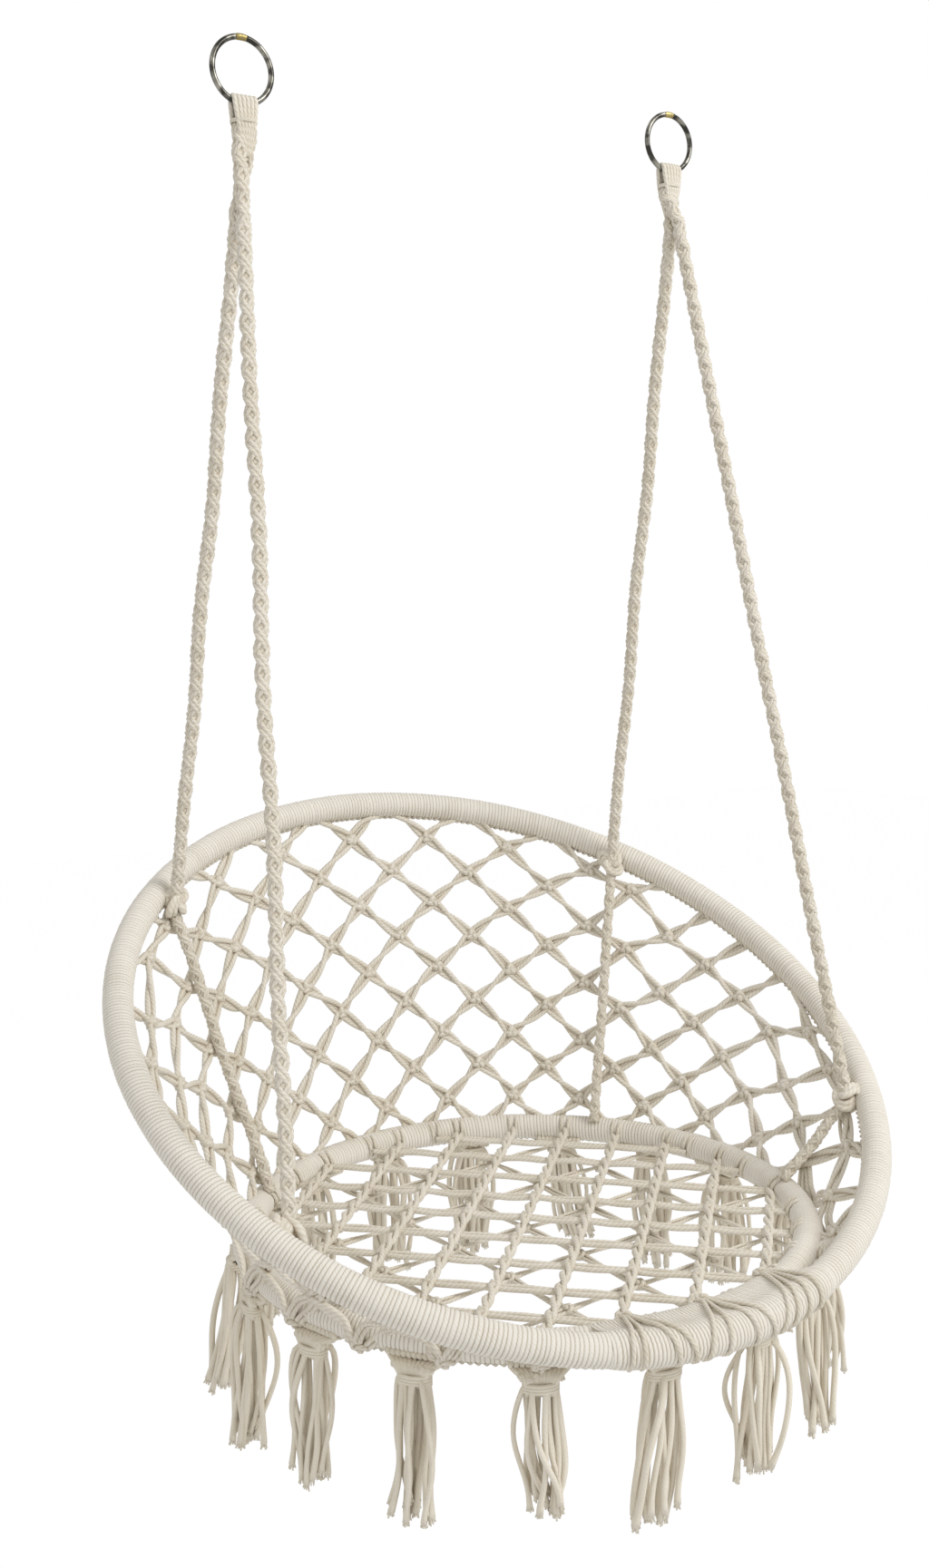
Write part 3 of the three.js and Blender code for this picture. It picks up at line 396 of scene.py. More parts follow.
@dataclass(frozen=True)
class CottonFinish:
    """Undyed cotton cord: soft, matt, with a twisted lay and a faint warm mottling."""

    name: str
    light: tuple = (0.89, 0.845, 0.765)
    light_at: float = 0.74
    dark: tuple = (0.6, 0.525, 0.385)
    dark_at: float = 0.18
    ply_count: int = 3
    lay_cm: float = 1.1
    ply_height: float = 0.00055
    # Share of tone by which the plies' hollows are painted darker: painted shade.
    painted_ply_shade: float = 0.42
    fibre_scale: float = 900.0
    fibre_tone: float = 0.16
    fibre_height: float = 0.0003
    mottle_scale: float = 45.0
    mottle_tone: float = 0.34
    broad_scale: float = 7.0
    broad_tone: float = 0.26
    # Warm brown painted where cords press together: painted shade in the crevices.
    painted_shade_brown: tuple = (0.40, 0.315, 0.19)
    painted_shade_reach: float = 0.006
    painted_shade_depth: float = 0.95

    def ply(self, pen: NodePen, around: Socket, along: Socket) -> Socket:
        """Height of the twisted plies, 0 to 1.

        It is the 0.6th power of half of one plus the sine of the ply count times the
        sum of u and of v over the lay.
        """
        turn = pen.math("MULTIPLY", around, TAU * self.ply_count)
        travel = pen.math("MULTIPLY", along, TAU * self.ply_count / self.lay_cm)
        wave = pen.math("SINE", pen.math("ADD", turn, travel))
        ply = pen.math("ADD", pen.math("MULTIPLY", wave, 0.5), 0.5)
        return pen.math("POWER", ply, 0.6)

    def painted_crevice_shade(self, pen: NodePen, colour: Socket) -> Socket:
        """The colour, turned to a painted warm-brown shade where cords press together.

        The share of painted shade is the painted shade depth times one minus the open
        share of the piece's own surroundings within the painted shade reach, to the
        power 1.5.
        """
        open_share = pen.add(
            "ShaderNodeAmbientOcclusion", samples=4, only_local=True, Distance=self.painted_shade_reach
        )
        closed = pen.math("SUBTRACT", 1.0, open_share.outputs["AO"])
        share = pen.math("MULTIPLY", pen.math("POWER", closed, 1.5), self.painted_shade_depth)
        mix = pen.add("ShaderNodeMix", data_type="RGBA")
        pen.link(share, mix.inputs[0])
        pen.link(colour, mix.inputs[6])
        mix.inputs[7].default_value = (*self.painted_shade_brown, 1)
        return mix.outputs[2]

    def build(self) -> bpy.types.Material:
        """Makes the material.

        The plies' hollows are lower and painted darker as painted shade, two noises
        mottle the tone, a fine one roughens the surface as fibres do, and crevices
        are painted a warm brown as painted shade.

        Returns:
            The finished material.
        """
        material = bpy.data.materials.new(self.name)
        pen = NodePen(material)
        where = pen.add("ShaderNodeTexCoord")
        uv = pen.add("ShaderNodeSeparateXYZ")
        pen.link(where.outputs["UV"], uv.inputs[0])
        ply = self.ply(pen, uv.outputs[0], uv.outputs[1])
        fibre = pen.noise(where.outputs["Object"], self.fibre_scale, 2.0)
        mottle = pen.noise(where.outputs["Object"], self.mottle_scale, 3.0)
        broad = pen.noise(where.outputs["Object"], self.broad_scale, 2.0)
        tone = pen.weighted_sum(
            (mottle, self.mottle_tone),
            (broad, self.broad_tone),
            # The plies' hollows pull the colour towards the dark end: painted shade.
            (ply, self.painted_ply_shade),
            (fibre, self.fibre_tone),
        )
        colour = pen.ramp(tone, (self.dark_at, self.dark), (self.light_at, self.light))
        # Crevices take a painted brown: painted shade.
        pen.link(self.painted_crevice_shade(pen, colour), pen.shader.inputs["Base Color"])
        lift = pen.bump(ply, 0.9, self.ply_height)
        pen.link(pen.bump(fibre, 0.5, self.fibre_height, lift), pen.shader.inputs["Normal"])
        pen.shade(Roughness=0.92, Specular_IOR_Level=0.2, Sheen_Weight=0.12, Sheen_Roughness=0.5)
        return material


@dataclass(frozen=True)
class WoundFinish(CottonFinish):
    """The hoops' winding: seams between turns painted dark as painted shade, and yarn slanting across each.
    """

    pitch_cm: float = 0.41
    yarn_share: float = 0.35

    def ply(self, pen: NodePen, around: Socket, along: Socket) -> Socket:
        """Height of the winding, 0 to 1.

        Across each turn it is one minus the third power of the distance from the
        turn's middle; the slanting yarn of a twisted cord takes a share off that.
        """
        yarn = CottonFinish.ply(self, pen, around, along)
        place = pen.math("FRACT", pen.math("DIVIDE", along, self.pitch_cm))
        away = pen.math("ABSOLUTE", pen.math("SUBTRACT", pen.math("MULTIPLY", place, 2.0), 1.0))
        crown = pen.math("SUBTRACT", 1.0, pen.math("POWER", away, 3.0))
        shaded = pen.math("ADD", pen.math("MULTIPLY", yarn, self.yarn_share), 1 - self.yarn_share)
        return pen.math("MULTIPLY", crown, shaded)


@dataclass(frozen=True)
class MetalFinish:
    """Metal with faint scratches and uneven polish, and light and dark patches in its colour as painted
    reflection.
    """

    name: str
    colour: tuple
    roughness: float
    unevenness: float
    painted_reflection_dark: float = 0.6
    painted_reflection_dark_at: float = 0.45
    painted_reflection_bright_at: float = 0.7
    patch_scale: float = 60.0
    grain_scale: float = 260.0
    grain_height: float = 0.00002

    def build(self) -> bpy.types.Material:
        """Makes the material: noise over the object varies the colour, as painted reflection, and the polish
        and height.
        """
        material = bpy.data.materials.new(self.name)
        pen = NodePen(material)
        where = pen.add("ShaderNodeTexCoord").outputs["Object"]
        grain = pen.noise(where, self.grain_scale, 3.0)
        patch = pen.noise(where, self.patch_scale, 2.0)
        # Light and dark patches of the colour: painted reflection.
        painted_reflection_dark = tuple(c * self.painted_reflection_dark for c in self.colour)
        colour = pen.ramp(patch, (self.painted_reflection_dark_at, painted_reflection_dark), (self.painted_reflection_bright_at, self.colour))
        pen.link(colour, pen.shader.inputs["Base Color"])
        rough = pen.math("ADD", pen.math("MULTIPLY", grain, self.unevenness), self.roughness)
        pen.link(rough, pen.shader.inputs["Roughness"])
        pen.link(pen.bump(grain, 0.04, self.grain_height), pen.shader.inputs["Normal"])
        pen.shade(Metallic=1.0)
        return material


@dataclass
class Finishes:
    """Every finish of the chair, built once."""

    wound: bpy.types.Material = None
    cord: bpy.types.Material = None
    rope: bpy.types.Material = None
    fringe: bpy.types.Material = None
    steel: bpy.types.Material = None
    brass: bpy.types.Material = None
    tube: bpy.types.Material = None

    def build(self) -> "Finishes":
        """Makes all the materials."""
        self.wound = WoundFinish(
            "wound_cotton", light=(0.855, 0.812, 0.73), dark=(0.53, 0.455, 0.325),
            ply_count=26, lay_cm=11.0, ply_height=0.00045, painted_ply_shade=0.48, painted_shade_depth=0.6,
        ).build()
        self.cord = CottonFinish("net_cotton", lay_cm=1.6, ply_height=0.00028, painted_ply_shade=0.22).build()
        self.rope = CottonFinish("rope_cotton", lay_cm=1.6, ply_height=0.00024, painted_ply_shade=0.22).build()
        # The tassels' cotton is lighter than the cords': painted light that offsets the hoops' shade on them.
        self.fringe = CottonFinish(
            "fringe_cotton", light=(0.93, 0.875, 0.765), dark=(0.75, 0.68, 0.55), lay_cm=1.3,
            ply_height=0.0001, painted_ply_shade=0.07, painted_shade_depth=0.35,
        ).build()
        # The steel's dark colour and its much darker patches are painted reflection of dim surroundings.
        self.steel = MetalFinish(
            "ring_steel", (0.33, 0.315, 0.27), 0.06, 0.05, painted_reflection_dark=0.13, patch_scale=85.0
        ).build()
        self.brass = MetalFinish("ring_seam_brass", (0.50, 0.40, 0.16), 0.30, 0.15).build()
        self.tube = MetalFinish("plain_tube_steel", (0.45, 0.45, 0.46), 0.35, 0.15).build()
        return self


def make_piece(
    surface: Surface,
    name: str,
    material: bpy.types.Material,
    nodes: list[str],
    body: Body | None,
) -> bpy.types.Object:
    """Makes a piece, gives it its finish and its body, and hides the CAD nodes that it replaces.

    Args:
        surface: the piece's shape.
        name: its name.
        material: its finish.
        nodes: CAD nodes that it replaces.
        body: the body that it rides on, or None where it rides on none.
    Returns:
        The new object.
    """
    piece = surface.to_object(name)
    piece.data.materials.clear()
    piece.data.materials.append(material)
    if nodes:
        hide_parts(*nodes)
    if body:
        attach(piece, body.value)
    log.info("%s: %d faces", piece.name, len(piece.data.polygons))
    return piece


# ---------------------------------------------------------------- the two hoops


@dataclass
class Hoop:
    """Bent tube with a wound cotton cover, as a circle with a tilt about X."""

    name: str
    centre: Array
    radius: float
    tilt: float
    cover: float = 15.0
    cord_pitch: float = 4.1
    ridge: float = 1.05

    @property
    def axis(self) -> Array:
        """Unit vector square to the hoop's plane."""
        return np.array([0.0, -math.sin(self.tilt), math.cos(self.tilt)])

    def out(self, turn: Array) -> Array:
        """Unit vectors from the hoop's centre, at turns in radians from +X."""
        turn = np.asarray(turn, float)
        s = np.sin(turn)
        return np.stack([np.cos(turn), s * math.cos(self.tilt), s * math.sin(self.tilt)], -1)

    def at(self, turn: Array) -> Array:
        """Points of the centre line at turns in radians."""
        return self.centre + self.radius * self.out(turn)

    def ahead(self, turn: Array) -> Array:
        """Unit vectors along the hoop."""
        return self.out(np.asarray(turn, float) + math.pi / 2)

    def turn_at(self, azimuth: Array, about: Array) -> Array:
        """Turn at which the hoop stands at an azimuth about a vertical line.

        It is found by steps of 0.8 times the difference between the wanted azimuth
        and the azimuth of the point at the last turn.
        """
        azimuth = np.asarray(azimuth, float)
        turn = azimuth.copy()
        for _ in range(30):
            p = self.at(turn) - about
            miss = np.arctan2(p[..., 1], p[..., 0]) - azimuth
            turn = turn - np.arctan2(np.sin(miss), np.cos(miss)) * 0.8
        return turn

    def winding(self, turns: int, seed: int) -> tuple[Array, Array, Array, Array]:
        """Rings over a number of wound turns, five for each.

        A turn's section is a half ellipse. The width, the height and the slant of
        each turn vary a little.

        Args:
            turns: number of turns.
            seed: starts the random numbers.
        Returns:
            Place in turns, height above the seams, slant in millimetres, and even
            place in turns, each for every ring.
        """
        rng = np.random.default_rng(seed)
        share = np.array([0.0, 0.12, 0.35, 0.65, 0.88])
        edge = rng.normal(0, 0.07, turns + 1)
        edge[-1] = edge[0]
        number = np.arange(turns)[:, None]
        place = number + edge[:-1, None] + share * (1 + edge[1:, None] - edge[:-1, None])
        height = np.sqrt(1 - (2 * share - 1) ** 2) * rng.uniform(0.82, 1.12, (turns, 1))
        lean = 1.3 + rng.normal(0, 0.25, turns + 1)
        lean[-1] = lean[0]
        slant = lean[:-1, None] + share * (lean[1:, None] - lean[:-1, None])
        even = number + share
        return place.ravel(), (height * self.ridge).ravel(), slant.ravel(), even.ravel()

    def cover_surface(self, sides: int, seed: int) -> Surface:
        """Wound cover: a tube over the hoop whose rings follow the wound turns.

        The radius is the cover's, less the ridge, plus the height of the winding at
        that ring and two slow sines of the turn; each ring is shifted along the hoop
        by its slant times the sine of the angle round the tube.
        """
        turns = round(TAU * self.radius / self.cord_pitch)
        place, height, slant, even = self.winding(turns, seed)
        angle = np.arange(sides) * TAU / sides
        t = (place * TAU / turns)[:, None] + slant[:, None] * np.sin(angle) / self.radius
        swell = 0.2 * np.sin(5 * t) + 0.15 * np.sin(13 * t)
        reach = self.cover - self.ridge + height[:, None] + swell
        points = (
            self.centre
            + (self.radius + reach * np.cos(angle))[..., None] * self.out(t)
            + (reach * np.sin(angle))[..., None] * self.axis
        )
        return grid_surface(points[None], (even * self.cord_pitch)[None], True)


@dataclass
class Chair:
    """Sizes that the pieces share: both hoops and the lattice of the back net."""

    seat: Hoop = None
    back: Hoop = None
    seat_radius: float = 288.0
    seat_middle: tuple = (0.0, -28.0, -1139.0)
    back_radius: float = 400.0
    back_tilt: float = math.radians(29.4)
    back_front_z: float = -1137.0
    front_gap: float = 2.2
    column_step: float = math.radians(7.8)
    half_columns: int = 20
    side_pitch: float = 35.5
    back_extra_pitch: float = 5.0
    fold_y: float = -316.0
    fold_z: float = -1139.0
    fold_margin: float = 0.04

    def __post_init__(self) -> None:
        """Places the hoops as the CAD does."""
        self.seat = Hoop("seat_hoop", np.array(self.seat_middle), self.seat_radius, 0.0)
        front = self.seat_middle[1] - self.seat_radius - 2 * self.seat.cover - self.front_gap
        y = front + self.back_radius * math.cos(self.back_tilt)
        z = self.back_front_z + self.back_radius * math.sin(self.back_tilt)
        self.back = Hoop("back_hoop", np.array([0.0, y, z]), self.back_radius, self.back_tilt)

    def ruling(self, azimuth: Array) -> tuple[Array, Array]:
        """Ends of the straight line between the hoops at an azimuth."""
        azimuth = np.asarray(azimuth, float)
        low = self.seat.at(self.seat.turn_at(azimuth, self.seat.centre))
        high = self.back.at(self.back.turn_at(azimuth, self.seat.centre))
        return low, high

    def net_normal(self, azimuth: Array) -> Array:
        """Outward unit normal of the back net at an azimuth."""
        low, high = self.ruling(azimuth)
        around = direction(np.asarray(azimuth) + math.pi / 2)
        return unit(np.cross(around, high - low))

    def bend_across_fold(self, piece: bpy.types.Object) -> None:
        """Bakes a piece's placement into its mesh and reads its points back; it bends nothing."""
        start = self.back.at(math.pi / 2) * MM
        end = self.seat.at(math.pi / 2) * MM
        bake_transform(piece)
        coordinates = np.empty(len(piece.data.vertices) * 3, np.float32)
        piece.data.vertices.foreach_get("co", coordinates)


@dataclass
class Hoops:
    """The wound covers of both hoops and their looped edging."""

    chair: Chair
    finishes: Finishes
    cover_sides: int = 16
    edging_radius: float = 1.7
    edging_pitch: float = 7.4
    edging_swing: float = 2.3
    edging_lift: float = 0.2
    edging_rise: float = 0.9
    edging_wander: float = 0.5
    stitch_steps: int = 7
    edging_angle: float = math.radians(-128)
    seat_edging_angle: float = math.radians(-75)
    front_edging: tuple = (math.radians(-158), math.radians(-28), math.radians(-72))

    def build(self) -> None:
        """Makes both covers, their edging, and dresses the tubes inside."""
        seat, back = self.chair.seat, self.chair.back
        for hoop, body, seed in ((back, Body.CHAIR, 3), (seat, Body.SEAT, 4)):
            cover = hoop.cover_surface(self.cover_sides, seed)
            make_piece(cover, f"{hoop.name}_cover", self.finishes.wound, [f"{hoop.name}_wrap"], body)
            tube = bpy.data.objects[f"{hoop.name}_tube"]
            tube.data.materials.clear()
            tube.data.materials.append(self.finishes.tube)
        rows = [self.edging(back, 0, TAU, self.edging_angle), self.edging(back, *self.front_edging)]
        make_piece(Surface.join(rows), "back_hoop_edging", self.finishes.cord, [], Body.CHAIR)
        row = self.edging(seat, 0, TAU, self.seat_edging_angle)
        make_piece(row, "seat_hoop_edging", self.finishes.cord, [], Body.SEAT)

    def edging(self, hoop: Hoop, start: float, stop: float, place: float) -> Surface:
        """Row of small stitches along a line on the hoop's cover.

        The line lies at an angle round the tube. The stitching cord swings across it
        and in and out of the cover once in each pitch.
        """
        count = round((stop - start) * hoop.radius / self.edging_pitch)
        whole = stop - start > TAU - 0.01
        steps = count * self.stitch_steps
        t = start + (stop - start) * np.arange(steps + (not whole)) / steps
        phase = TAU * count * (t - start) / (stop - start) + self.edging_wander * np.sin(11 * t)
        out, axis = hoop.out(t), hoop.axis
        away, across = turned(place, out, axis), turned(place, axis, -out)
        reach = hoop.cover + self.edging_lift + self.edging_rise * np.cos(phase)
        path = hoop.at(t) + away * reach[:, None] + across * (self.edging_swing * np.sin(phase))[:, None]
        return sweep(path[None], self.edging_radius, away[None], sides=5, round_path=whole)


# ---------------------------------------------------------------- rings and ropes


@dataclass
class HangingRing:
    """Steel ring with a brazed seam at the top."""

    side: str
    x: float
    finishes: Finishes
    radius: float = 28.5
    wire: float = 2.7
    sides: int = 20
    drop: float = 25.8
    seam: float = 5.0
    seam_swell: float = 0.3
    seam_ripple: float = 0.05
    gap: float = 0.3

    def arc(self, start: float, stop: float, count: int) -> tuple[Array, Array, Array]:
        """Angles from the ring's top, the wire's middle line there, and the way out."""
        a = np.linspace(start, stop, count)
        out = np.stack([np.sin(a), np.zeros_like(a), np.cos(a)], -1)
        return a, np.array([self.x, 0.0, -self.drop]) + self.radius * out, out

    def build(self) -> None:
        """Makes the ring and its seam."""
        half = self.seam / self.radius
        open_half = (self.seam + self.gap) / self.radius
        _, path, out = self.arc(open_half, TAU - open_half, 140)
        ring = sweep(path[None], self.wire, out[None], sides=self.sides)
        name = f"steel_ring_{self.side}"
        make_piece(ring, name, self.finishes.steel, [f"ring_{self.side}"], Body.RINGS)
        a, path, out = self.arc(-half, half, 28)
        swell = self.wire + self.seam_swell * np.cos(a / half * math.pi / 2) ** 0.5
        swell = swell + self.seam_ripple * np.sin(9 * a / half)
        seam = sweep(path[None], swell[None], out[None], sides=self.sides)
        name = f"brazed_seam_{self.side}"
        make_piece(seam, name, self.finishes.brass, [f"ring_seam_{self.side}"], Body.RINGS)


@dataclass(frozen=True)
class RoundBraid:
    """Round braid of four doubled strands over a core.

    Two strands wind one way and two the other, each once in the turn length, and each
    is two cords side by side. The distance of a strand from the path is the reach plus
    the weave times the cosine of twice its angle, with the sign of its winding, so
    that each passes over and under the others in turn. Twin is half the angle between
    a strand's two cords, and swelling the share by which the braid swells and thins.
    """

    cord: float
    reach: float
    weave: float
    turn_length: float = 42.0
    twin: float = 0.46
    swelling: float = 0.045

    def along(self, path: Array, side: Array, phase: float) -> Surface:
        """The braid along a path.

        Args:
            path: points, n x 3, closely and evenly spaced.
            side: side vectors, n x 3.
            phase: angle at which the braid starts.
        Returns:
            The surface of the eight cords and of the core that they cover.
        """
        first, second = square_axes(path, side)
        along = length_along(path)
        waves = np.sin(TAU * along / 37.0 + phase) + 0.6 * np.sin(TAU * along / 91.0)
        swell = 1 + self.swelling * waves
        winding = np.repeat([1, -1], 4)[:, None]
        start = np.tile([0, 0, math.pi, math.pi], 2)[:, None]
        beside = np.tile([self.twin, -self.twin], 4)[:, None]
        gone = TAU * along / self.turn_length + phase
        angle = winding * gone + start + beside
        distance = (self.reach + winding * self.weave * np.cos(2 * gone)) * swell
        outward = turned(angle[..., None], first, second)
        core = sweep(path[None], (0.98 * self.reach * swell)[None], first[None], sides=10)
        strands = sweep(path + distance[..., None] * outward, self.cord, outward, sides=5)
        return Surface.join([strands, core])


@dataclass
class HangingRopes:
    """One side's rope: its eye over the ring, its two legs, knots and lower braids."""

    ring: HangingRing
    chair: Chair
    finishes: Finishes
    lean: float
    eye_length: float
    front_turn: float
    rear_turn: float
    rope_radius: float = 7.2
    legs_apart: float = 7.7
    leg_step: float = 2.5
    sway: float = 1.6
    eye_braid: RoundBraid = RoundBraid(cord=2.5, reach=4.2, weave=0.65)
    leg_braid: RoundBraid = RoundBraid(cord=2.5, reach=4.4, weave=0.7)
    lower_braid: RoundBraid = RoundBraid(cord=2.15, reach=3.9, weave=0.6, turn_length=35.7)
    eye_step: float = 2.3
    eye_top: float = 17.0
    eye_stages: tuple = (
        (0.0, 4.4, 0.0, 0.0),
        (0.0, 4.9, 0.6, -12.0),
        (1 / 3, 4.6, 3.8, -2.0),
        (2 / 3, 1.8, 6.4, 0.0),
        (1.0, 0.0, 7.7, 6.0),
        (1.0, 0.0, 7.7, -7.0),
    )
    fold_cord: float = 2.4
    fold_gap: float = 0.4
    fold_width: float = 10.0
    fold_taper: float = 7.6
    fold_leg: tuple = ((-1.5, -46.0), (-4.2, -33.0), (-6.6, -19.0), (-6.2, -8.0))
    band_cord: float = 1.2
    band_drop: float = 17.5
    band_climb: float = 2.6
    band_half: tuple = (11.6, 9.3)
    outer_knot: Knot = Knot((19.0, 17.0, 13.5), 3.9, steps=72, sides=8)
    inner_knot: Knot = Knot((15.0, 14.0, 10.5), 3.9, steps=60, sides=8)
    knot_off_net: float = 18.2
    knot_below_hoop: float = 15.0
    hitch_cord: float = 3.2
    hitch_pitch: float = 7.6
    braid_off_net: float = 13.3
    braid_step: float = 2.4
    braid_top: float = 8.0
    braid_foot: float = 9.0

    @property
    def fold_z(self) -> float:
        """Height of the ring's lowest wire."""
        return -2 * self.ring.radius + self.ring.wire

    @property
    def foot(self) -> Array:
        """Middle of the eye's foot, where its two ropes part."""
        return np.array([self.ring.x + self.lean, 0.0, self.fold_z - self.eye_length])

    def knot_frame(self, turn: float) -> tuple[Array, Array, Array, Array, float]:
        """Where a leg is tied: the knot's middle and the net's directions there."""
        on = self.chair.back.at(turn)
        off = on - self.chair.seat.centre
        azimuth = math.atan2(off[1], off[0])
        low, high = self.chair.ruling(azimuth)
        climb = unit(high - low)
        inward = -self.chair.net_normal(azimuth)
        centre = high + inward * self.knot_off_net - climb * self.knot_below_hoop
        return centre, inward, climb, self.chair.back.ahead(turn), azimuth

    def build(self) -> None:
        """Makes the eye, both legs with their knots, and both lower braids."""
        self.build_eye()
        for place, face, turn in (("front", -1, self.front_turn), ("rear", 1, self.rear_turn)):
            self.build_leg(place, face, turn)
            self.build_braid(place, turn)

    def build_eye(self) -> None:
        """Cords folded over the ring, bound, and the two ropes that run on from them.

        Each stage of a rope is a share of the way from the eye's top to its foot, and
        the rope's offset there.
        """
        parts = [self.fold(), self.band()]
        head = np.array([self.ring.x, 0.0, self.fold_z - self.eye_top])
        stages = np.array(self.eye_stages)
        for face in (-1, 1):
            corners = head + stages[:, :1] * (self.foot - head) + stages[:, 1:] * [face, face, 1]
            path = smooth_path(corners, int(self.eye_length / self.eye_step))
            parts.append(self.eye_braid.along(path, transported_side(path, X_AXIS), face))
        side = self.ring.side
        eye = Surface.join(parts)
        make_piece(eye, f"braided_eye_{side}", self.finishes.rope, [f"rope_eye_{side}"], Body.CHAIR)

    def fold(self) -> Surface:
        """Six parallel cords over the ring's lowest wire that run down into the ropes."""
        across = np.linspace(-1, 1, 6)[:, None]
        angle = np.linspace(math.pi, 0, 9)
        reach = self.ring.wire + self.fold_gap + self.fold_cord
        leg = np.array(self.fold_leg)
        bend = np.stack([reach * np.cos(angle), reach * np.sin(angle)], -1)
        y, z = np.concatenate([leg, bend, leg[::-1] * [-1, 1]]).T
        down = np.clip(z / leg[0, 1], 0, 1)
        narrow = self.fold_width - self.fold_taper * down**1.2
        corners = np.broadcast_arrays(
            self.ring.x + across * narrow, y * (1 - 0.12 * across * across), self.fold_z + z
        )
        paths = np.stack([smooth_path(p, 40) for p in np.stack(corners, -1)])
        return sweep(paths, self.fold_cord, X_AXIS, sides=8)

    def band(self) -> Surface:
        """Cord wound twice round the fold, an ellipse that climbs by its own thickness."""
        t = np.linspace(0, 2 * TAU, 49)
        x = self.ring.x + self.band_half[0] * np.cos(t) * (1 - 0.02 * np.cos(3 * t))
        y = self.band_half[1] * np.sin(t)
        z = self.fold_z - self.band_drop + self.band_climb * t / t[-1]
        return sweep(np.stack([x, y, z], -1)[None], self.band_cord, UP, sides=7)

    def build_leg(self, place: str, face: int, turn: float) -> None:
        """One braided leg, taut from the eye to its knot on the back hoop."""
        centre, inward, climb, ahead, _ = self.knot_frame(turn)
        start = self.foot + np.array([0, face * self.legs_apart, 0.0])
        length = float(np.linalg.norm(centre - start))
        share = np.linspace(0, 1, int(length / self.leg_step))
        sway = self.sway * np.sin(math.pi * share) * np.sin(TAU * share * 3 + face)
        across = unit(np.cross(centre - start, UP))
        path = start + share[:, None] * (centre - start) + sway[:, None] * across
        braid = self.leg_braid.along(path, transported_side(path, across), face * 1.3)
        where = f"{place}_{self.ring.side}"
        rope, nodes = self.finishes.rope, [f"rope_{place}_{self.ring.side}"]
        leg = make_piece(braid, f"braided_leg_{where}", rope, nodes, Body.CHAIR)
        parts = [
            self.outer_knot.at(centre[None], np.stack([ahead, climb, inward])[None]),
            self.inner_knot.at(centre[None], np.stack([climb, -ahead, inward])[None]),
            self.hitch(turn, centre),
        ]
        knot = make_piece(Surface.join(parts), f"rope_knot_{where}", rope, nodes, Body.CHAIR)

    def hitch(self, turn: float, centre: Array) -> Surface:
        """Loops that tie the knot to the hoop's underside, a cord apart.

        Each is an ellipse in the plane of the way from the hoop to the knot, a little
        bent out of it.
        """
        hoop = self.chair.back
        t = np.arange(40) * TAU / 40
        loops = []
        for step in (-1.5, -0.5, 0.5, 1.5):
            here = turn + step * self.hitch_pitch / hoop.radius
            base = hoop.at(here)
            toward = unit(centre - base)
            along = hoop.ahead(here)
            across = np.cross(toward, along)
            loop = turned(t[:, None], toward * (6.0 + 0.5 * step), across * (9.5 - abs(step)))
            loops.append(base + toward * 16.0 + loop + np.cos(2 * t)[:, None] * along * 1.2)
        return sweep(np.stack(loops), self.hitch_cord, hoop.ahead(turn), sides=7, round_path=True)

    def build_braid(self, place: str, turn: float) -> None:
        """Braid from the knot down the inside of the net to the seat hoop."""
        centre, inward, climb, _, azimuth = self.knot_frame(turn)
        low, high = self.chair.ruling(azimuth)
        top = centre - climb * self.braid_top
        top = top + inward * (self.braid_off_net - (centre - high) @ inward)
        foot = low + inward * self.braid_off_net + climb * self.braid_foot
        count = int(np.linalg.norm(top - foot) / self.braid_step)
        share = np.linspace(0, 1, count)[:, None]
        path = top + share * (foot - top) + inward * 1.2 * np.sin(share * 9)
        braid = self.lower_braid.along(path, transported_side(path, inward), turn)
        where = f"{place}_{self.ring.side}"
        piece = make_piece(braid, f"lower_braid_{where}", self.finishes.rope, [f"braid_{where}"], None)
        self.chair.bend_across_fold(piece)


# ---------------------------------------------------------------- the back net


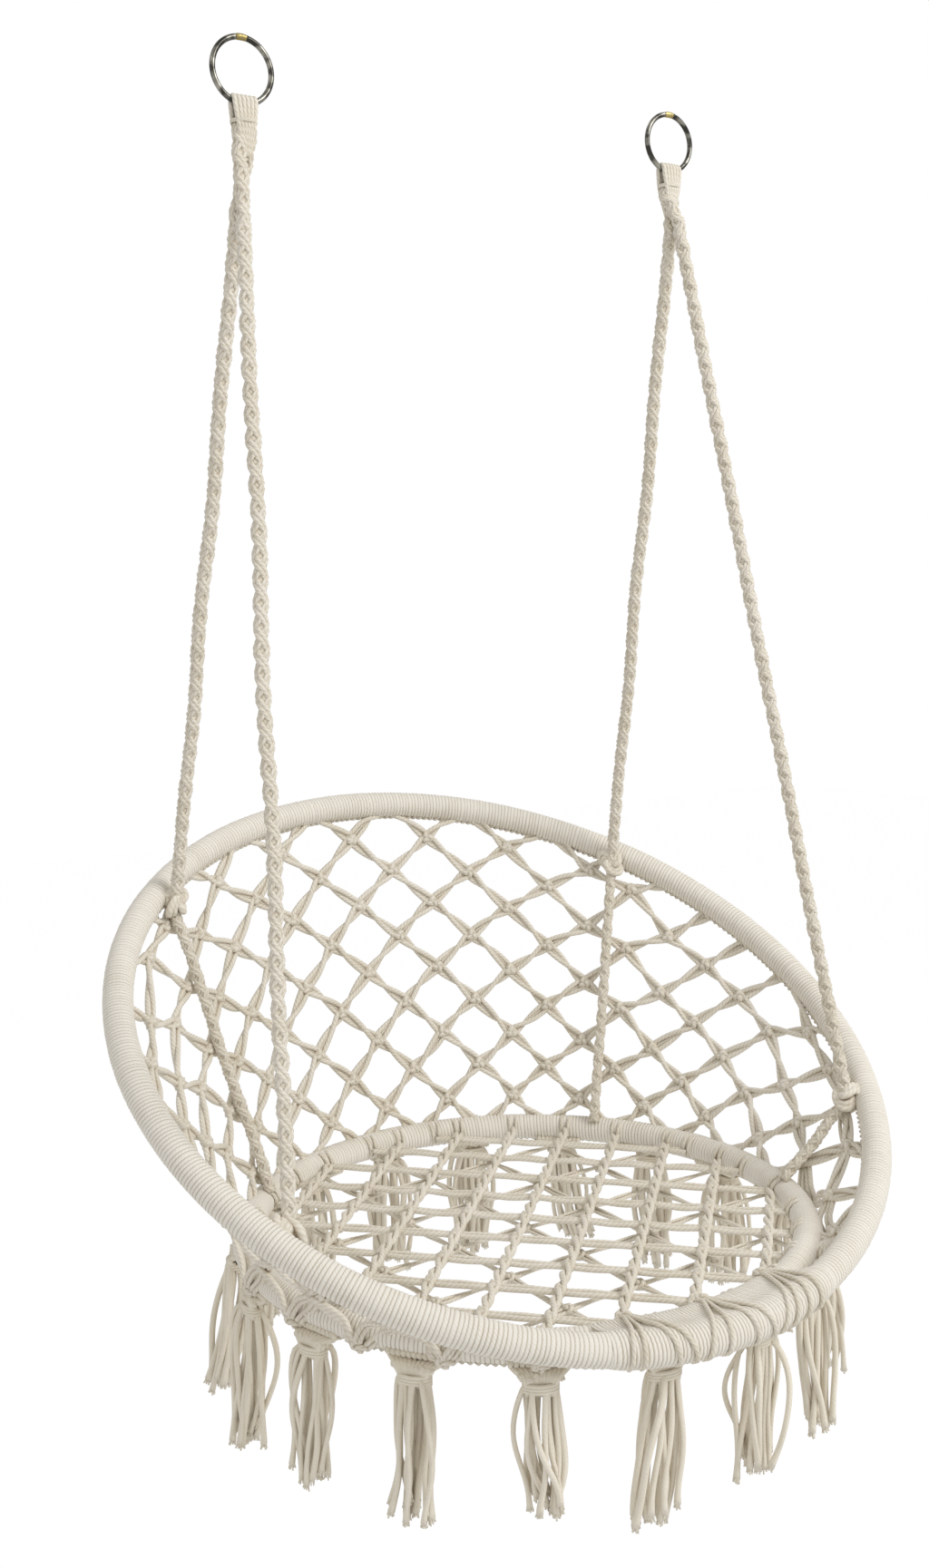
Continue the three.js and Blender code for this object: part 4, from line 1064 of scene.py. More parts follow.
@dataclass
class NetFeet:
    """The net's lowest links at the sides and front, as Vs of thick cord.

    They start under the outside of the seat hoop, cross its cover and end at the
    net's first knots.
    """

    chair: Chair
    from_columns: tuple = (-15, 10)
    cord: float = 2.6
    beside: float = 2.4
    leaf: float = 4.6
    reach: float = 18.0
    stages: tuple = ((-0.75, 0.03), (-0.15, 0.2), (0.5, 0.42))
    top_room: float = 16.0
    top_off_net: float = 3.0
    knot: Knot = Knot((10.0, 8.4, 5.8), 2.7, steps=27, sides=6)
    knot_angle: float = -0.62
    knot_lift: float = 0.8
    rng: np.random.Generator = field(default_factory=lambda: np.random.default_rng(31))

    def parts(self, arms: list[tuple[int, int, float]]) -> list[Surface]:
        """The cords and knots of some arms, each a column, a side and its upper share."""
        if not arms:
            return []
        middles = np.stack([self.arm(*arm) for arm in arms])
        off = middles.mean(1) - self.chair.seat.centre
        normal = self.chair.net_normal(np.arctan2(off[:, 1], off[:, 0]))
        across = unit(np.cross(normal[:, None], np.gradient(middles, axis=1)))
        opening = self.leaf * np.sin(math.pi * np.linspace(0, 1, middles.shape[1])) ** 1.3
        opening = opening[None, :, None] * self.rng.uniform(0.5, 1.2, (len(arms), 1, 1))
        cords = [
            middles + side * (opening + self.beside * place) * across
            for side in (-1, 1)
            for place in (0.4, 2.3)
        ]
        bands = sweep(np.concatenate(cords), self.cord, np.concatenate([normal] * 4), sides=6)
        return [bands, self.knots(sorted({column for column, _, _ in arms}))]

    def arm(self, column: int, lean: int, share: float) -> Array:
        """Middle line of one arm, from under the seat hoop's outside to the net."""
        chair = self.chair
        corners = []
        for angle, part in self.stages:
            here = math.pi / 2 + (column + lean * part) * chair.column_step
            away = turned(angle, direction(here), UP)
            corners.append(chair.seat.at(here) + self.reach * away)
        azimuth = math.pi / 2 + (column + lean) * chair.column_step
        low, high = chair.ruling(azimuth)
        share = min(share, 1 - self.top_room / float(np.linalg.norm(high - low)))
        corners.append(low + (high - low) * share + self.top_off_net * chair.net_normal(azimuth))
        return smooth_path(np.array(corners), 22)

    def knots(self, columns: list[int]) -> Surface:
        """Knots at the feet of the Vs."""
        places = math.pi / 2 + np.array(columns) * self.chair.column_step
        away = turned(self.knot_angle, direction(places), UP)
        around = direction(places + math.pi / 2)
        frames = np.stack([around, np.cross(away, around), away], 1)
        return self.knot.at(self.chair.seat.at(places) + (self.reach + self.knot_lift) * away, frames)


@dataclass(frozen=True)
class Link:
    """One link of the back net.

    Room is the length left free for a hoop at each end. A band is a link with two
    more cords, as the net has near its front ends.
    """

    start: Array
    stop: Array
    room: tuple[float, float]
    panel: int
    band: bool


@dataclass
class BackNet:
    """Diamond net of paired cords on the surface between the hoops.

    Each link also has a thin core behind its two cords, as the shaded yarn that shows
    between them.
    """

    chair: Chair
    finishes: Finishes
    cord: float = 3.0
    spread: float = 4.4
    depth: float = 2.2
    core: float = 2.1
    core_depth: float = 1.0
    skew: float = 0.10
    uneven: float = 0.08
    bow: float = 1.2
    knot: Knot = Knot((9.2, 8.7, 8.2), 3.9)
    knot_turn: float = 0.5
    panel_columns: int = 4
    hoop_room: float = 14.5
    band_columns: int = 14
    band_cord: float = 2.1
    band_depth: float = 0.8
    tie_cord: float = 2.1
    tie_half: tuple = (6.2, 4.0)
    feet: NetFeet = field(init=False)
    arms: dict = field(default_factory=dict)
    rng: np.random.Generator = field(default_factory=lambda: np.random.default_rng(7))

    def __post_init__(self) -> None:
        """Makes the builder of the Vs that stand for the lowest links."""
        self.feet = NetFeet(self.chair)

    def rows(self, column: float) -> int:
        """Rows of knots that fit at one column."""
        azimuth = math.pi / 2 + column * self.chair.column_step
        low, high = self.chair.ruling(azimuth)
        backness = max(0.0, math.sin(azimuth)) ** 4
        pitch = self.chair.side_pitch + self.chair.back_extra_pitch * backness
        return max(1, round(float(np.linalg.norm(high - low)) / pitch))

    def place(self, column: float, share: float) -> Array:
        """Point of the net at a column and a share of the way up."""
        low, high = self.chair.ruling(math.pi / 2 + column * self.chair.column_step)
        return low + (high - low) * share

    def links(self) -> list[Link]:
        """Every link of the net. Those that are Vs from the seat hoop go to the arms."""
        half = self.chair.half_columns
        found = []
        rows = {k: self.rows(k) for k in range(-half, half + 1)}
        for k in range(-half, half + 1):
            for r in range(rows[k]):
                if (k + r) % 2 == 0:
                    continue
                here = self.place(k, r / rows[k])
                for side in (-1, 1):
                    other, middle = k + side, k + side / 2
                    if not -half <= other <= half:
                        continue
                    panel = int((middle + half) // self.panel_columns) + 1
                    if r == 0 and not self.feet.from_columns[0] < k < self.feet.from_columns[1]:
                        self.arms.setdefault(panel, []).append((k, side, 1 / rows[other]))
                        continue
                    if r + 1 <= rows[other]:
                        there = self.place(other, (r + 1) / rows[other])
                    else:
                        there = self.place(middle, 1.0)
                    below = self.hoop_room if r == 0 else 0.0
                    above = self.hoop_room if r + 1 >= rows[other] else 0.0
                    band = abs(middle) > self.band_columns
                    found.append(Link(here, there, (below, above), panel, band))
        return found

    def build(self) -> None:
        """Makes one piece for each panel of the CAD's net."""
        links = self.links()
        room = np.array([link.room for link in links])
        panel = np.array([link.panel for link in links])
        band = np.array([link.band for link in links])
        start = np.array([link.start for link in links])
        stop = np.array([link.stop for link in links])
        ahead = unit(stop - start)
        start = start + ahead * room[:, :1]
        stop = stop - ahead * room[:, 1:]
        middle = (start + stop) / 2 - self.chair.seat.centre
        normal = self.chair.net_normal(np.arctan2(middle[:, 1], middle[:, 0]))
        cords = self.link_cords(start, stop, normal)
        wide = self.band_cords(start, stop, normal)
        for number in range(1, 2 * self.chair.half_columns // self.panel_columns + 1):
            chosen = panel == number
            core = cords[:, chosen].mean(0) + self.core_depth * normal[chosen][:, None]
            parts = [
                self.paired(cords, chosen, normal, self.cord),
                sweep(core, self.core, normal[chosen], sides=5),
            ]
            if (chosen & band).any():
                parts.append(self.paired(wide, chosen & band, normal, self.band_cord))
            inner = chosen & (room[:, 0] == 0)
            if inner.any():
                parts.append(self.knots(start[inner], normal[inner]))
            for end_room, ends in zip(room.T, (start, stop)):
                tied = chosen & (end_room > 0)
                if tied.any():
                    parts.append(self.hoop_ties(ends[tied], ahead[tied], normal[tied]))
            parts.extend(self.feet.parts(self.arms.get(number, [])))
            name = f"back_net_panel_{number}"
            nodes = [f"back_net_{number}"]
            piece = make_piece(Surface.join(parts), name, self.finishes.cord, nodes, None)
            self.chair.bend_across_fold(piece)

    def paired(self, cords: Array, chosen: Array, normal: Array, radius: float) -> Surface:
        """Both cords of the chosen links, from an array of 2 x links x steps x 3."""
        paths = cords[:, chosen].reshape(-1, cords.shape[2], 3)
        return sweep(paths, radius, np.concatenate([normal[chosen]] * 2), sides=6)

    def link_cords(self, start: Array, stop: Array, normal: Array) -> Array:
        """Two cords for each link, apart at its knots and crossed between them.

        Each cord's offset from the link's line is the spread times the cosine of an
        angle, across the link, and the depth times its sine, out of the net. The
        angle goes from zero to a half turn along the link, eased so that the crossing
        lies near the middle, and differs a little from link to link.

        Args:
            start: the links' starts, links x 3.
            stop: their ends.
            normal: the net's outward normals there.
        Returns:
            Array of 2 x links x steps x 3.
        """
        share = np.linspace(0, 1, 11)
        count = len(start)
        ahead = unit(stop - start)
        across = unit(np.cross(normal, ahead))
        up = np.cross(ahead, across)
        sign = self.rng.choice([-1.0, 1.0], count)
        skew = self.rng.normal(0, self.skew, count)[:, None]
        eased = np.clip(share + skew * np.sin(math.pi * share), 0, 1)
        angle = sign[:, None] * math.pi * eased
        spread = self.spread * (1 + self.rng.normal(0, self.uneven, count))[:, None]
        bow = self.rng.normal(0, self.bow, (count, 1, 1)) * np.sin(math.pi * share)[:, None]
        line = start[:, None] + share[:, None] * (stop - start)[:, None] + bow * across[:, None]
        offset = (spread * np.cos(angle))[..., None] * across[:, None]
        offset = offset + (self.depth * np.sin(angle))[..., None] * up[:, None]
        return np.stack([line + offset, line - offset])

    def band_cords(self, start: Array, stop: Array, normal: Array) -> Array:
        """Two more cords for each link of a flat band, beside the first two.

        A cord's distance from the link's line is 4.2 mm plus 3.4 times the 0.8th power
        of the sine of the way along.
        """
        share = np.linspace(0, 1, 9)
        across = unit(np.cross(normal, stop - start))
        width = 4.2 + 3.4 * np.sin(math.pi * share) ** 0.8
        line = start[:, None] + share[:, None] * (stop - start)[:, None]
        offset = width[:, None] * across[:, None] + self.band_depth * normal[:, None]
        other = width[:, None] * across[:, None] - self.band_depth * normal[:, None]
        return np.stack([line + offset, line - other])

    def knots(self, centres: Array, normal: Array) -> Surface:
        """Knots where links cross."""
        _, index = np.unique(np.round(centres, 1), axis=0, return_index=True)
        centres, normal = centres[index], normal[index]
        up = unit(UP - (normal @ UP)[:, None] * normal)
        across = np.cross(up, normal)
        turn = self.rng.uniform(-self.knot_turn, self.knot_turn, len(centres))[:, None]
        frames = np.stack([turned(turn, across, up), turned(turn, up, -across), normal], 1)
        return self.knot.at(centres, frames)

    def hoop_ties(self, ends: Array, ahead: Array, normal: Array) -> Surface:
        """Short loops by which the net's ends hold on to a hoop."""
        across = unit(np.cross(normal, ahead))
        t = np.arange(9) * TAU / 9
        wide, deep = self.tie_half
        loops = ends[:, None] + turned(t[:, None], wide * across[:, None], deep * normal[:, None])
        return sweep(loops, self.tie_cord, ahead, sides=5, round_path=True)


# ---------------------------------------------------------------- the seat net


@dataclass
class SeatNet:
    """Chains and double cords inside the seat hoop, with a thin net under them."""

    chair: Chair
    finishes: Finishes
    turn: float = math.radians(46)
    chain_pitch: float = 62.0
    chain_cord: float = 3.1
    chain_half: tuple = (2.9, 2.3)
    chain_lay: float = 57.0
    chain_lift: float = 0.8
    line_pitch: float = 57.0
    line_cord: float = 2.85
    line_apart: float = 2.3
    line_swell: float = 0.9
    line_sag: float = 0.8
    line_lift: float = 1.2
    knot: Knot = Knot((9.2, 7.8, 7.2), 3.5)
    rim: float = 272.5
    rim_cord: float = 2.0
    rim_room: float = 12.0
    under_turn: float = math.radians(4)
    under_pitch: float = 88.0
    under_drop: float = 12.0
    under_cord: float = 2.1
    under_apart: float = 1.9
    under_bead: Knot = Knot((8.0, 8.0, 6.8), 2.8)
    rng: np.random.Generator = field(default_factory=lambda: np.random.default_rng(21))

    def runs(self, pitch: float) -> list[tuple[float, float]]:
        """Offsets of parallel lines across the hoop, and half the length of each."""
        most = int(self.rim / pitch)
        offsets = [i * pitch for i in range(-most, most + 1)]
        inside = [u for u in offsets if abs(u) < self.rim - self.rim_room]
        return [(u, math.sqrt(self.rim**2 - u**2)) for u in inside]

    def knots(self, knot: Knot, centre: Array, along: Array, across: Array, pitches: tuple) -> Surface:
        """A knot at each point where the two sets of lines cross inside the hoop."""
        points = [
            centre + u * across + v * along
            for u, half in self.runs(pitches[0])
            for v, _ in self.runs(pitches[1])
            if abs(v) < half - self.rim_room - 1
        ]
        frames = np.broadcast_to(np.stack([along, -across, UP]), (len(points), 3, 3))
        return knot.at(np.array(points), frames)

    def build(self) -> None:
        """Makes the seat net and the net under it."""
        along = direction(self.turn)
        across = np.array([along[1], -along[0], 0.0])
        centre = self.chair.seat.centre
        parts = [
            self.chains(centre, along, across),
            self.lines(centre, across, along),
            self.knots(self.knot, centre, along, across, (self.chain_pitch, self.line_pitch)),
            self.rim_loops(along, across),
        ]
        cord = self.finishes.cord
        make_piece(Surface.join(parts), "seat_net_cords", cord, ["seat_net"], Body.SEAT)
        under = self.under_net(centre - UP * self.under_drop)
        make_piece(under, "seat_under_cords", cord, ["seat_net_under"], Body.SEAT)

    def chains(self, centre: Array, along: Array, across: Array) -> Surface:
        """Twisted chains: along each line two cords wind round each other.

        A cord's distance across the line is the chain's half width times the cosine of
        its angle, and its height the half height times the sine; it turns once in the
        chain's lay.
        """
        paths = []
        for offset, half in self.runs(self.chain_pitch):
            s = np.linspace(-half, half, 110)
            middle = centre + offset * across + s[:, None] * along
            for start in (0.0, math.pi):
                angle = TAU * s / self.chain_lay + start + offset
                paths.append(
                    middle
                    + self.chain_half[0] * np.cos(angle)[:, None] * across
                    + (self.chain_half[1] * np.sin(angle)[:, None] + self.chain_lift) * UP
                )
        return sweep(np.stack(paths), self.chain_cord, UP, sides=6)

    def lines(self, centre: Array, along: Array, across: Array) -> Surface:
        """Double cords that pass through the chains' knots and lie side by side.

        The distance of each cord from the line is half their distance apart plus the
        swell times the squared sine of the way from chain to chain.
        """
        paths = []
        for offset, half in self.runs(self.line_pitch):
            s = np.linspace(-half, half, 110)
            way = math.pi * s / self.chain_pitch
            lift = self.rng.uniform(-self.line_lift, self.line_lift)
            for side in (-1, 1):
                spread = side * (self.line_apart + self.line_swell * np.sin(way) ** 2)
                bow = self.line_sag * np.sin(way + offset * side) ** 2 + lift * np.sin(way) ** 2
                paths.append(
                    centre
                    + (offset + spread)[:, None] * across
                    + s[:, None] * along
                    - bow[:, None] * UP
                )
        return sweep(np.stack(paths), self.line_cord, UP, sides=6)

    def rim_loops(self, along: Array, across: Array) -> Surface:
        """Cords' ends that pass over the hoop's inner half and tuck into its cover.

        Each lies on the cover at an angle that goes from below the inner side to short
        of the top, and sinks into it at both ends. On the way it drifts along the hoop
        by 2.8 mm, away from its twin.
        """
        seat = self.chair.seat
        t = np.radians(np.linspace(212, 112, 17))
        share = np.linspace(0, 1, 17)
        reach = seat.cover + 1.5 - 2.6 * (1 - np.sin(math.pi * share) ** 0.5)
        paths = []
        for pitch, run, sideways in (
            (self.chain_pitch, along, across),
            (self.line_pitch, across, along),
        ):
            for offset, half in self.runs(pitch):
                for sign in (-1, 1):
                    end = offset * sideways + sign * half * run
                    azimuth = math.atan2(end[1], end[0])
                    for shift in (-1, 1):
                        wander = 2.2 + 2.8 * share + self.rng.uniform(-0.3, 0.5)
                        here = azimuth + shift * wander / seat.radius
                        paths.append(
                            seat.at(here)
                            + (reach * np.cos(t))[:, None] * seat.out(here)
                            + (reach * np.sin(t))[:, None] * UP
                        )
        stacked = np.stack(paths)
        outward = unit(stacked - stacked.mean(1, keepdims=True))
        return sweep(stacked, self.rim_cord, outward, sides=6)

    def under_net(self, centre: Array) -> Surface:
        """Thinner double cords with a bead-like knot at each crossing."""
        along = direction(self.under_turn)
        across = np.array([along[1], -along[0], 0.0])
        paths = []
        for run, sideways in ((along, across), (across, along)):
            for offset, half in self.runs(self.under_pitch):
                s = np.linspace(-half, half, 60)
                wave = 1.6 * np.sin(s / 31.0 + offset)
                for side in (-1, 1):
                    paths.append(
                        centre
                        + (offset + side * self.under_apart + wave)[:, None] * sideways
                        + s[:, None] * run
                        + (0.9 * side * np.sin(s / 12.0))[:, None] * UP
                    )
        pitches = (self.under_pitch, self.under_pitch)
        beads = self.knots(self.under_bead, centre, along, across, pitches)
        return Surface.join([sweep(np.stack(paths), self.under_cord, UP, sides=6), beads])


# ---------------------------------------------------------------- lashing and fringe


@dataclass
class FrontLashing:
    """Cord wound round both hoops at the front, and the seat chains' ends over it."""

    chair: Chair
    finishes: Finishes
    first: float = -112.5
    last: float = -69.0
    turns: int = 64
    depth: float = 1.5
    slant: float = 5.5
    cord: float = 2.15
    knot: Knot = Knot((9.0, 7.4, 6.0), 2.4, steps=24, sides=6)
    knot_angle: float = math.radians(112)
    knot_lift: float = 2.6
    fans: tuple = (
        (-105.8, (-109.0, -107.0, -101.2, -98.2)),
        (-90.0, (-96.3, -92.6, -87.0, -83.4)),
        (-73.0, (-81.8, -79.2, -76.0, -72.8)),
    )
    fan_stages: tuple = (
        (0.0, 100, 0.0),
        (0.1, 90, 0.06),
        (0.5, 90, 0.28),
        (1.0, 90, 0.55),
        (1.0, 50, 0.74),
        (1.0, 10, 0.88),
        (1.0, -30, 0.97),
        (1.0, -75, 1.0),
    )

    def section(self, azimuth: Array) -> tuple[Array, Array, Array, Array]:
        """Both hoops' centres at azimuths, the way from one to the other, and up."""
        low, high = self.chair.ruling(azimuth)
        outward = unit(high - low)
        lift = unit(np.cross(outward, direction(azimuth + math.pi / 2)))
        return low, high, outward, lift

    def build(self) -> None:
        """Makes the winding, and the fans of cords over it, as two pieces."""
        for name, surface, material in (
            ("front_winding", self.sleeve(), self.finishes.wound),
            ("front_fan_cords", Surface.join([self.fan_cords(), self.fan_knots()]), self.finishes.cord),
        ):
            piece = make_piece(surface, name, material, ["front_lashing"], None)
            self.chair.bend_across_fold(piece)

    def sleeve(self) -> Surface:
        """Winding round both hoops.

        The section is the outline of two circles and the straight bridges between
        them. Going round, a share runs from 1 on the back hoop to 0 on the seat hoop
        and back, and a point lies at the seat hoop's centre plus the share of the way
        to the back hoop's, plus the reach at the point's angle. The reach is the
        cover's plus the depth and the height of the winding at that ring, less the
        bridges' sag.
        """
        place, height, _, even = self.chair.back.winding(self.turns, 9)
        arc = np.radians(np.linspace(-90, 90, 9))
        bridge = np.array([0.25, 0.5, 0.75])
        angle = np.concatenate([arc, np.full(3, math.pi / 2), arc + math.pi, np.full(3, -math.pi / 2)])
        share = np.concatenate([np.ones(9), 1 - bridge, np.zeros(9), bridge])
        sag = np.concatenate([np.zeros(9), [1.2, 1.8, 1.2], np.zeros(9), [1.2, 1.8, 1.2]])
        along = 1 - place / self.turns
        azimuth = np.radians(self.first + (self.last - self.first) * along)
        tilt = self.slant * (1.2 * share - 0.6 + 0.4 * np.cos(angle)) / self.chair.back.radius
        azimuth = azimuth[:, None] + tilt
        low, high, outward, lift = self.section(azimuth)
        fade = np.clip(np.minimum(place, self.turns - place) / 3, 0, 1)[:, None]
        reach = self.chair.seat.cover - 0.6 + self.depth * fade + height[:, None] * 0.9 - sag
        points = (
            low
            + share[:, None] * (high - low)
            + (reach * np.cos(angle))[..., None] * outward
            + (reach * np.sin(angle))[..., None] * lift
        )
        return grid_surface(points[None], (even * self.chair.back.cord_pitch)[None], False)

    def fan_cords(self) -> Surface:
        """Cords that leave each knot together and part on their way over the hoops.

        A cord starts on top of the seat hoop at its knot's azimuth and drifts to its
        own as it crosses to the back hoop and goes down its outer side. Each stage is
        the share of the way to the back hoop, the angle round it in degrees, and the
        share of the drift. The last one sinks into the cover.
        """
        stages = np.array(self.fan_stages)
        paths = []
        for knot, feet in self.fans:
            for number, foot in enumerate(feet):
                drift = stages[:, 2]
                start = knot + 0.5 * (number - 1.5)
                azimuth = np.radians(start + (foot - start) * drift)
                low, high, outward, lift = self.section(azimuth)
                angle = np.radians(stages[:, 1])[:, None]
                reach = self.chair.seat.cover + self.depth + 1.7 - 2.2 * (stages[:, 2:3] == 1.0)
                corners = low + stages[:, :1] * (high - low)
                corners = corners + reach * turned(angle, outward, lift)
                paths.append(smooth_path(corners, 44))
        stacked = np.stack(paths)
        outward = unit(stacked - stacked.mean(1, keepdims=True))
        return sweep(stacked, self.cord, outward, sides=7)

    def fan_knots(self) -> Surface:
        """Knots from which the fans start, on top of the seat hoop's inner side."""
        azimuth = np.radians([knot for knot, _ in self.fans])
        low, _, outward, lift = self.section(azimuth)
        away = turned(self.knot_angle, outward, lift)
        around = direction(azimuth + math.pi / 2)
        frames = np.stack([np.cross(away, around), around, away], 1)
        return self.knot.at(low + (self.chair.seat.cover + self.knot_lift) * away, frames)


@dataclass
class Fringe:
    """Tassels under the seat hoop."""

    chair: Chair
    finishes: Finishes
    count: int = 17
    first: float = math.radians(-100.5)
    offset: float = 12.0
    length: float = 158.0
    neck: float = 16.0
    neck_half: float = 12.0
    neck_depth: float = 6.0
    strands: int = 16
    strand: float = 2.9
    belly: float = 18.0
    foot: float = 18.5
    foot_depth: float = 0.8
    wander: float = 2.9
    drift: float = 5.0
    reach_shares: tuple = (
        1.06, 0.99, 0.95, 0.97, 1.0, 0.93, 0.98, 0.9, 1.0, 0.95, 0.98, 0.92, 0.99, 1.0, 0.94, 0.96, 0.88,
    )
    leans: tuple = (0.0, 3.0, 5.0, 2.0, 6.0, 0.0, 4.0, 8.0, 2.0, 5.0, 0.0, 4.0, 20.0, 9.0, 4.0, 3.0, 0.0)
    yarns: int = 7
    yarn: float = 1.3
    fray_length: float = 10.5
    fray_spread: float = 2.3
    web_half: float = 24.0
    web_columns: int = 11
    web_cord: float = 2.9
    web_neck: float = 31.0
    web_reach: tuple = (16.0, 17.2)
    web_faces: tuple = ((-0.55, -1.05, 4.0), (-2.5, -2.0, -4.0))
    web_stages: tuple = ((15.5, 1.0, 11.0), (11.6, 1.0, 3.0), (11.4, 0.8, -6.0))
    web_knot: Knot = Knot((5.0, 4.0, 2.9), 1.9, steps=15)
    web_knot_count: int = 6
    web_knot_half: float = 17.0
    web_knot_z: float = -21.0
    web_knot_off: tuple = (-8.6, 4.4)
    tie_cord: float = 1.9
    rng: np.random.Generator = field(default_factory=lambda: np.random.default_rng(5))

    def build(self) -> None:
        """Makes every tassel as a piece of its own."""
        for n in range(self.count):
            azimuth = self.first + TAU * n / self.count
            parts = [self.hanging(n, azimuth), self.web(azimuth), self.web_knots(azimuth), self.tie(azimuth)]
            name, nodes = f"fringe_tassel_{n + 1}", [f"tassel_{n + 1}"]
            make_piece(Surface.join(parts), name, self.finishes.fringe, nodes, Body.SEAT)

    def place(self, azimuth: float) -> tuple[Array, Array, Array]:
        """Top of the tassel's axis and its outward and sideways directions."""
        radial, around = direction(azimuth), direction(azimuth + math.pi / 2)
        return self.chair.seat.centre + (self.chair.seat.radius + self.offset) * radial, radial, around

    def hanging(self, number: int, azimuth: float) -> Surface:
        """Loose strands that bow out from the neck and come back.

        A strand's place is an ellipse's point at its angle. The ellipse's half width
        runs evenly from the neck's to its foot's, plus the strand's own bulge times
        the sine of the way down. It wanders by a slow sine, and swells near the end.

        Args:
            number: the tassel's number from 0.
            azimuth: its place round the hoop.
        Returns:
            The strands with the yarns at their ends.
        """
        top, radial, around = self.place(azimuth)
        count = self.strands
        share = np.linspace(0, 1, 19)
        angle = np.arange(count) * TAU / count + self.rng.normal(0, 0.25, count)
        fullness = self.rng.uniform(0.8, 1.25)
        bulge = fullness * self.belly * self.rng.beta(0.5, 0.95, count)
        foot = fullness * self.foot * self.rng.uniform(0.2, 1.25, count)
        drop = (self.length - self.neck - 6.0) * self.rng.uniform(0.84, 1.01, count)
        drop = drop * self.reach_shares[number]
        drift = self.rng.normal(0, self.drift, 2) + [self.leans[number], 0.0]
        swing = np.sin(math.pi * share ** self.rng.uniform(0.5, 1.05, (count, 1)))
        wide = self.neck_half + (foot - self.neck_half)[:, None] * share + bulge[:, None] * swing
        deep = self.neck_depth + (self.foot_depth * foot - self.neck_depth)[:, None] * share
        deep = deep + bulge[:, None] * swing
        spin = angle[:, None] + self.rng.normal(0, 0.6, count)[:, None] * share
        wander = self.wander * np.sin(TAU * share * 1.2 + self.rng.uniform(0, TAU, (count, 1))) * share
        z = -self.chair.seat.cover - self.neck + 4 - drop[:, None] * share
        side = share[None, :, None] ** 2 * (drift[0] * radial + drift[1] * around)
        paths = (
            top
            + (wide * np.cos(spin) + wander)[..., None] * around
            + (deep * np.sin(spin))[..., None] * radial
            + z[..., None] * UP
            + side
        )
        thick = self.strand * self.rng.uniform(0.85, 1.12, count)
        radius = thick[:, None] * (1 + 0.25 * np.clip((share - 0.88) / 0.12, 0, 1))
        return Surface.join([sweep(paths, radius, radial, sides=6), self.fray(paths, thick, radial)])

    def fray(self, paths: Array, thick: Array, radial: Array) -> Surface:
        """Yarns that stand out of each strand's end like a short brush.

        A yarn starts inside its strand, follows the strand's heading and leaves it by
        its spread times the squared way along, while it thins by a third.

        Args:
            paths: the strands' lines.
            thick: their radii.
            radial: side vector of the yarns.
        Returns:
            The surface of all the yarns.
        """
        tips = paths[:, -1]
        heading = unit(tips - paths[:, -3])
        side = unit(np.cross(heading, radial))
        other = np.cross(heading, side)
        turn = np.arange(self.yarns) * TAU / self.yarns + self.rng.uniform(0, TAU, (len(paths), 1))
        away = turned(turn[..., None], side[:, None], other[:, None])
        share = np.linspace(0, 1, 5)
        spread = self.rng.uniform(0.8, self.fray_spread, turn.shape)[..., None] * share**2
        offset = 0.5 * thick[:, None, None] + spread
        run = self.rng.uniform(0.7, 1.0, turn.shape)[..., None] * self.fray_length * share - 5.0
        lines = (
            tips[:, None, None]
            + run[..., None] * heading[:, None, None]
            + offset[..., None] * away[:, :, None]
        )
        return sweep(lines.reshape(-1, 5, 3), self.yarn * (1 - 0.35 * share), radial, sides=4)

    def web(self, azimuth: float) -> Surface:
        """Cords that gather from the hoop's underside into the neck, as a bracket.

        Outer ones start on the hoop's outside, inner ones under its inside; both sets
        spread evenly along the hoop and draw together at the tie. A face is two angles
        round the hoop, one for each reach, and a depth in the neck. A stage is half the
        web's width, the share of the depth, and the height above the neck.
        """
        top, radial, around = self.place(azimuth)
        seat = self.chair.seat
        paths = []
        for across in np.linspace(-1, 1, self.web_columns):
            arc = azimuth + across * self.web_half / seat.radius
            base, out = seat.at(arc), seat.out(arc)
            for *turns, depth in self.web_faces:
                corners = [base + reach * turned(turn, out, UP) for reach, turn in zip(self.web_reach, turns)]
                corners += [
                    top + wide * across * around + deep * depth * radial - UP * (self.web_neck - rise)
                    for wide, deep, rise in self.web_stages
                ]
                paths.append(smooth_path(np.array(corners), 16))
        stacked = np.stack(paths)
        outward = unit(stacked - stacked.mean((0, 1)))
        return sweep(stacked, self.web_cord, outward, sides=6)

    def web_knots(self, azimuth: float) -> Surface:
        """A row of small knots across the outside of the web, and one inside it."""
        top, radial, around = self.place(azimuth)
        across = np.linspace(-self.web_knot_half, self.web_knot_half, self.web_knot_count)[:, None]
        rows = [top + across * around + off * radial + self.web_knot_z * UP for off in self.web_knot_off]
        centres = np.concatenate(rows)
        centres = centres + self.rng.normal(0, 0.9, centres.shape)
        lean = self.rng.normal(0, 0.5, len(centres))[:, None]
        first = turned(lean, around, UP)
        frames = np.stack([first, np.cross(first, -radial), np.broadcast_to(-radial, first.shape)], 1)
        return self.web_knot.at(centres, frames)

    def tie(self, azimuth: float) -> Surface:
        """Cord wound round the neck."""
        top, radial, around = self.place(azimuth)
        t = np.linspace(0, 3 * TAU, 73)
        z = -self.chair.seat.cover - self.neck + 5 - 8.5 * t / t[-1]
        path = (
            top
            + (self.neck_depth + 3.2) * np.sin(t)[:, None] * radial
            + (self.neck_half + 2.6 + 0.5 * np.sin(3 * t))[:, None] * np.cos(t)[:, None] * around
            + z[:, None] * UP
        )
        return sweep(path[None], self.tie_cord, UP, sides=6)


# ---------------------------------------------------------------- studio


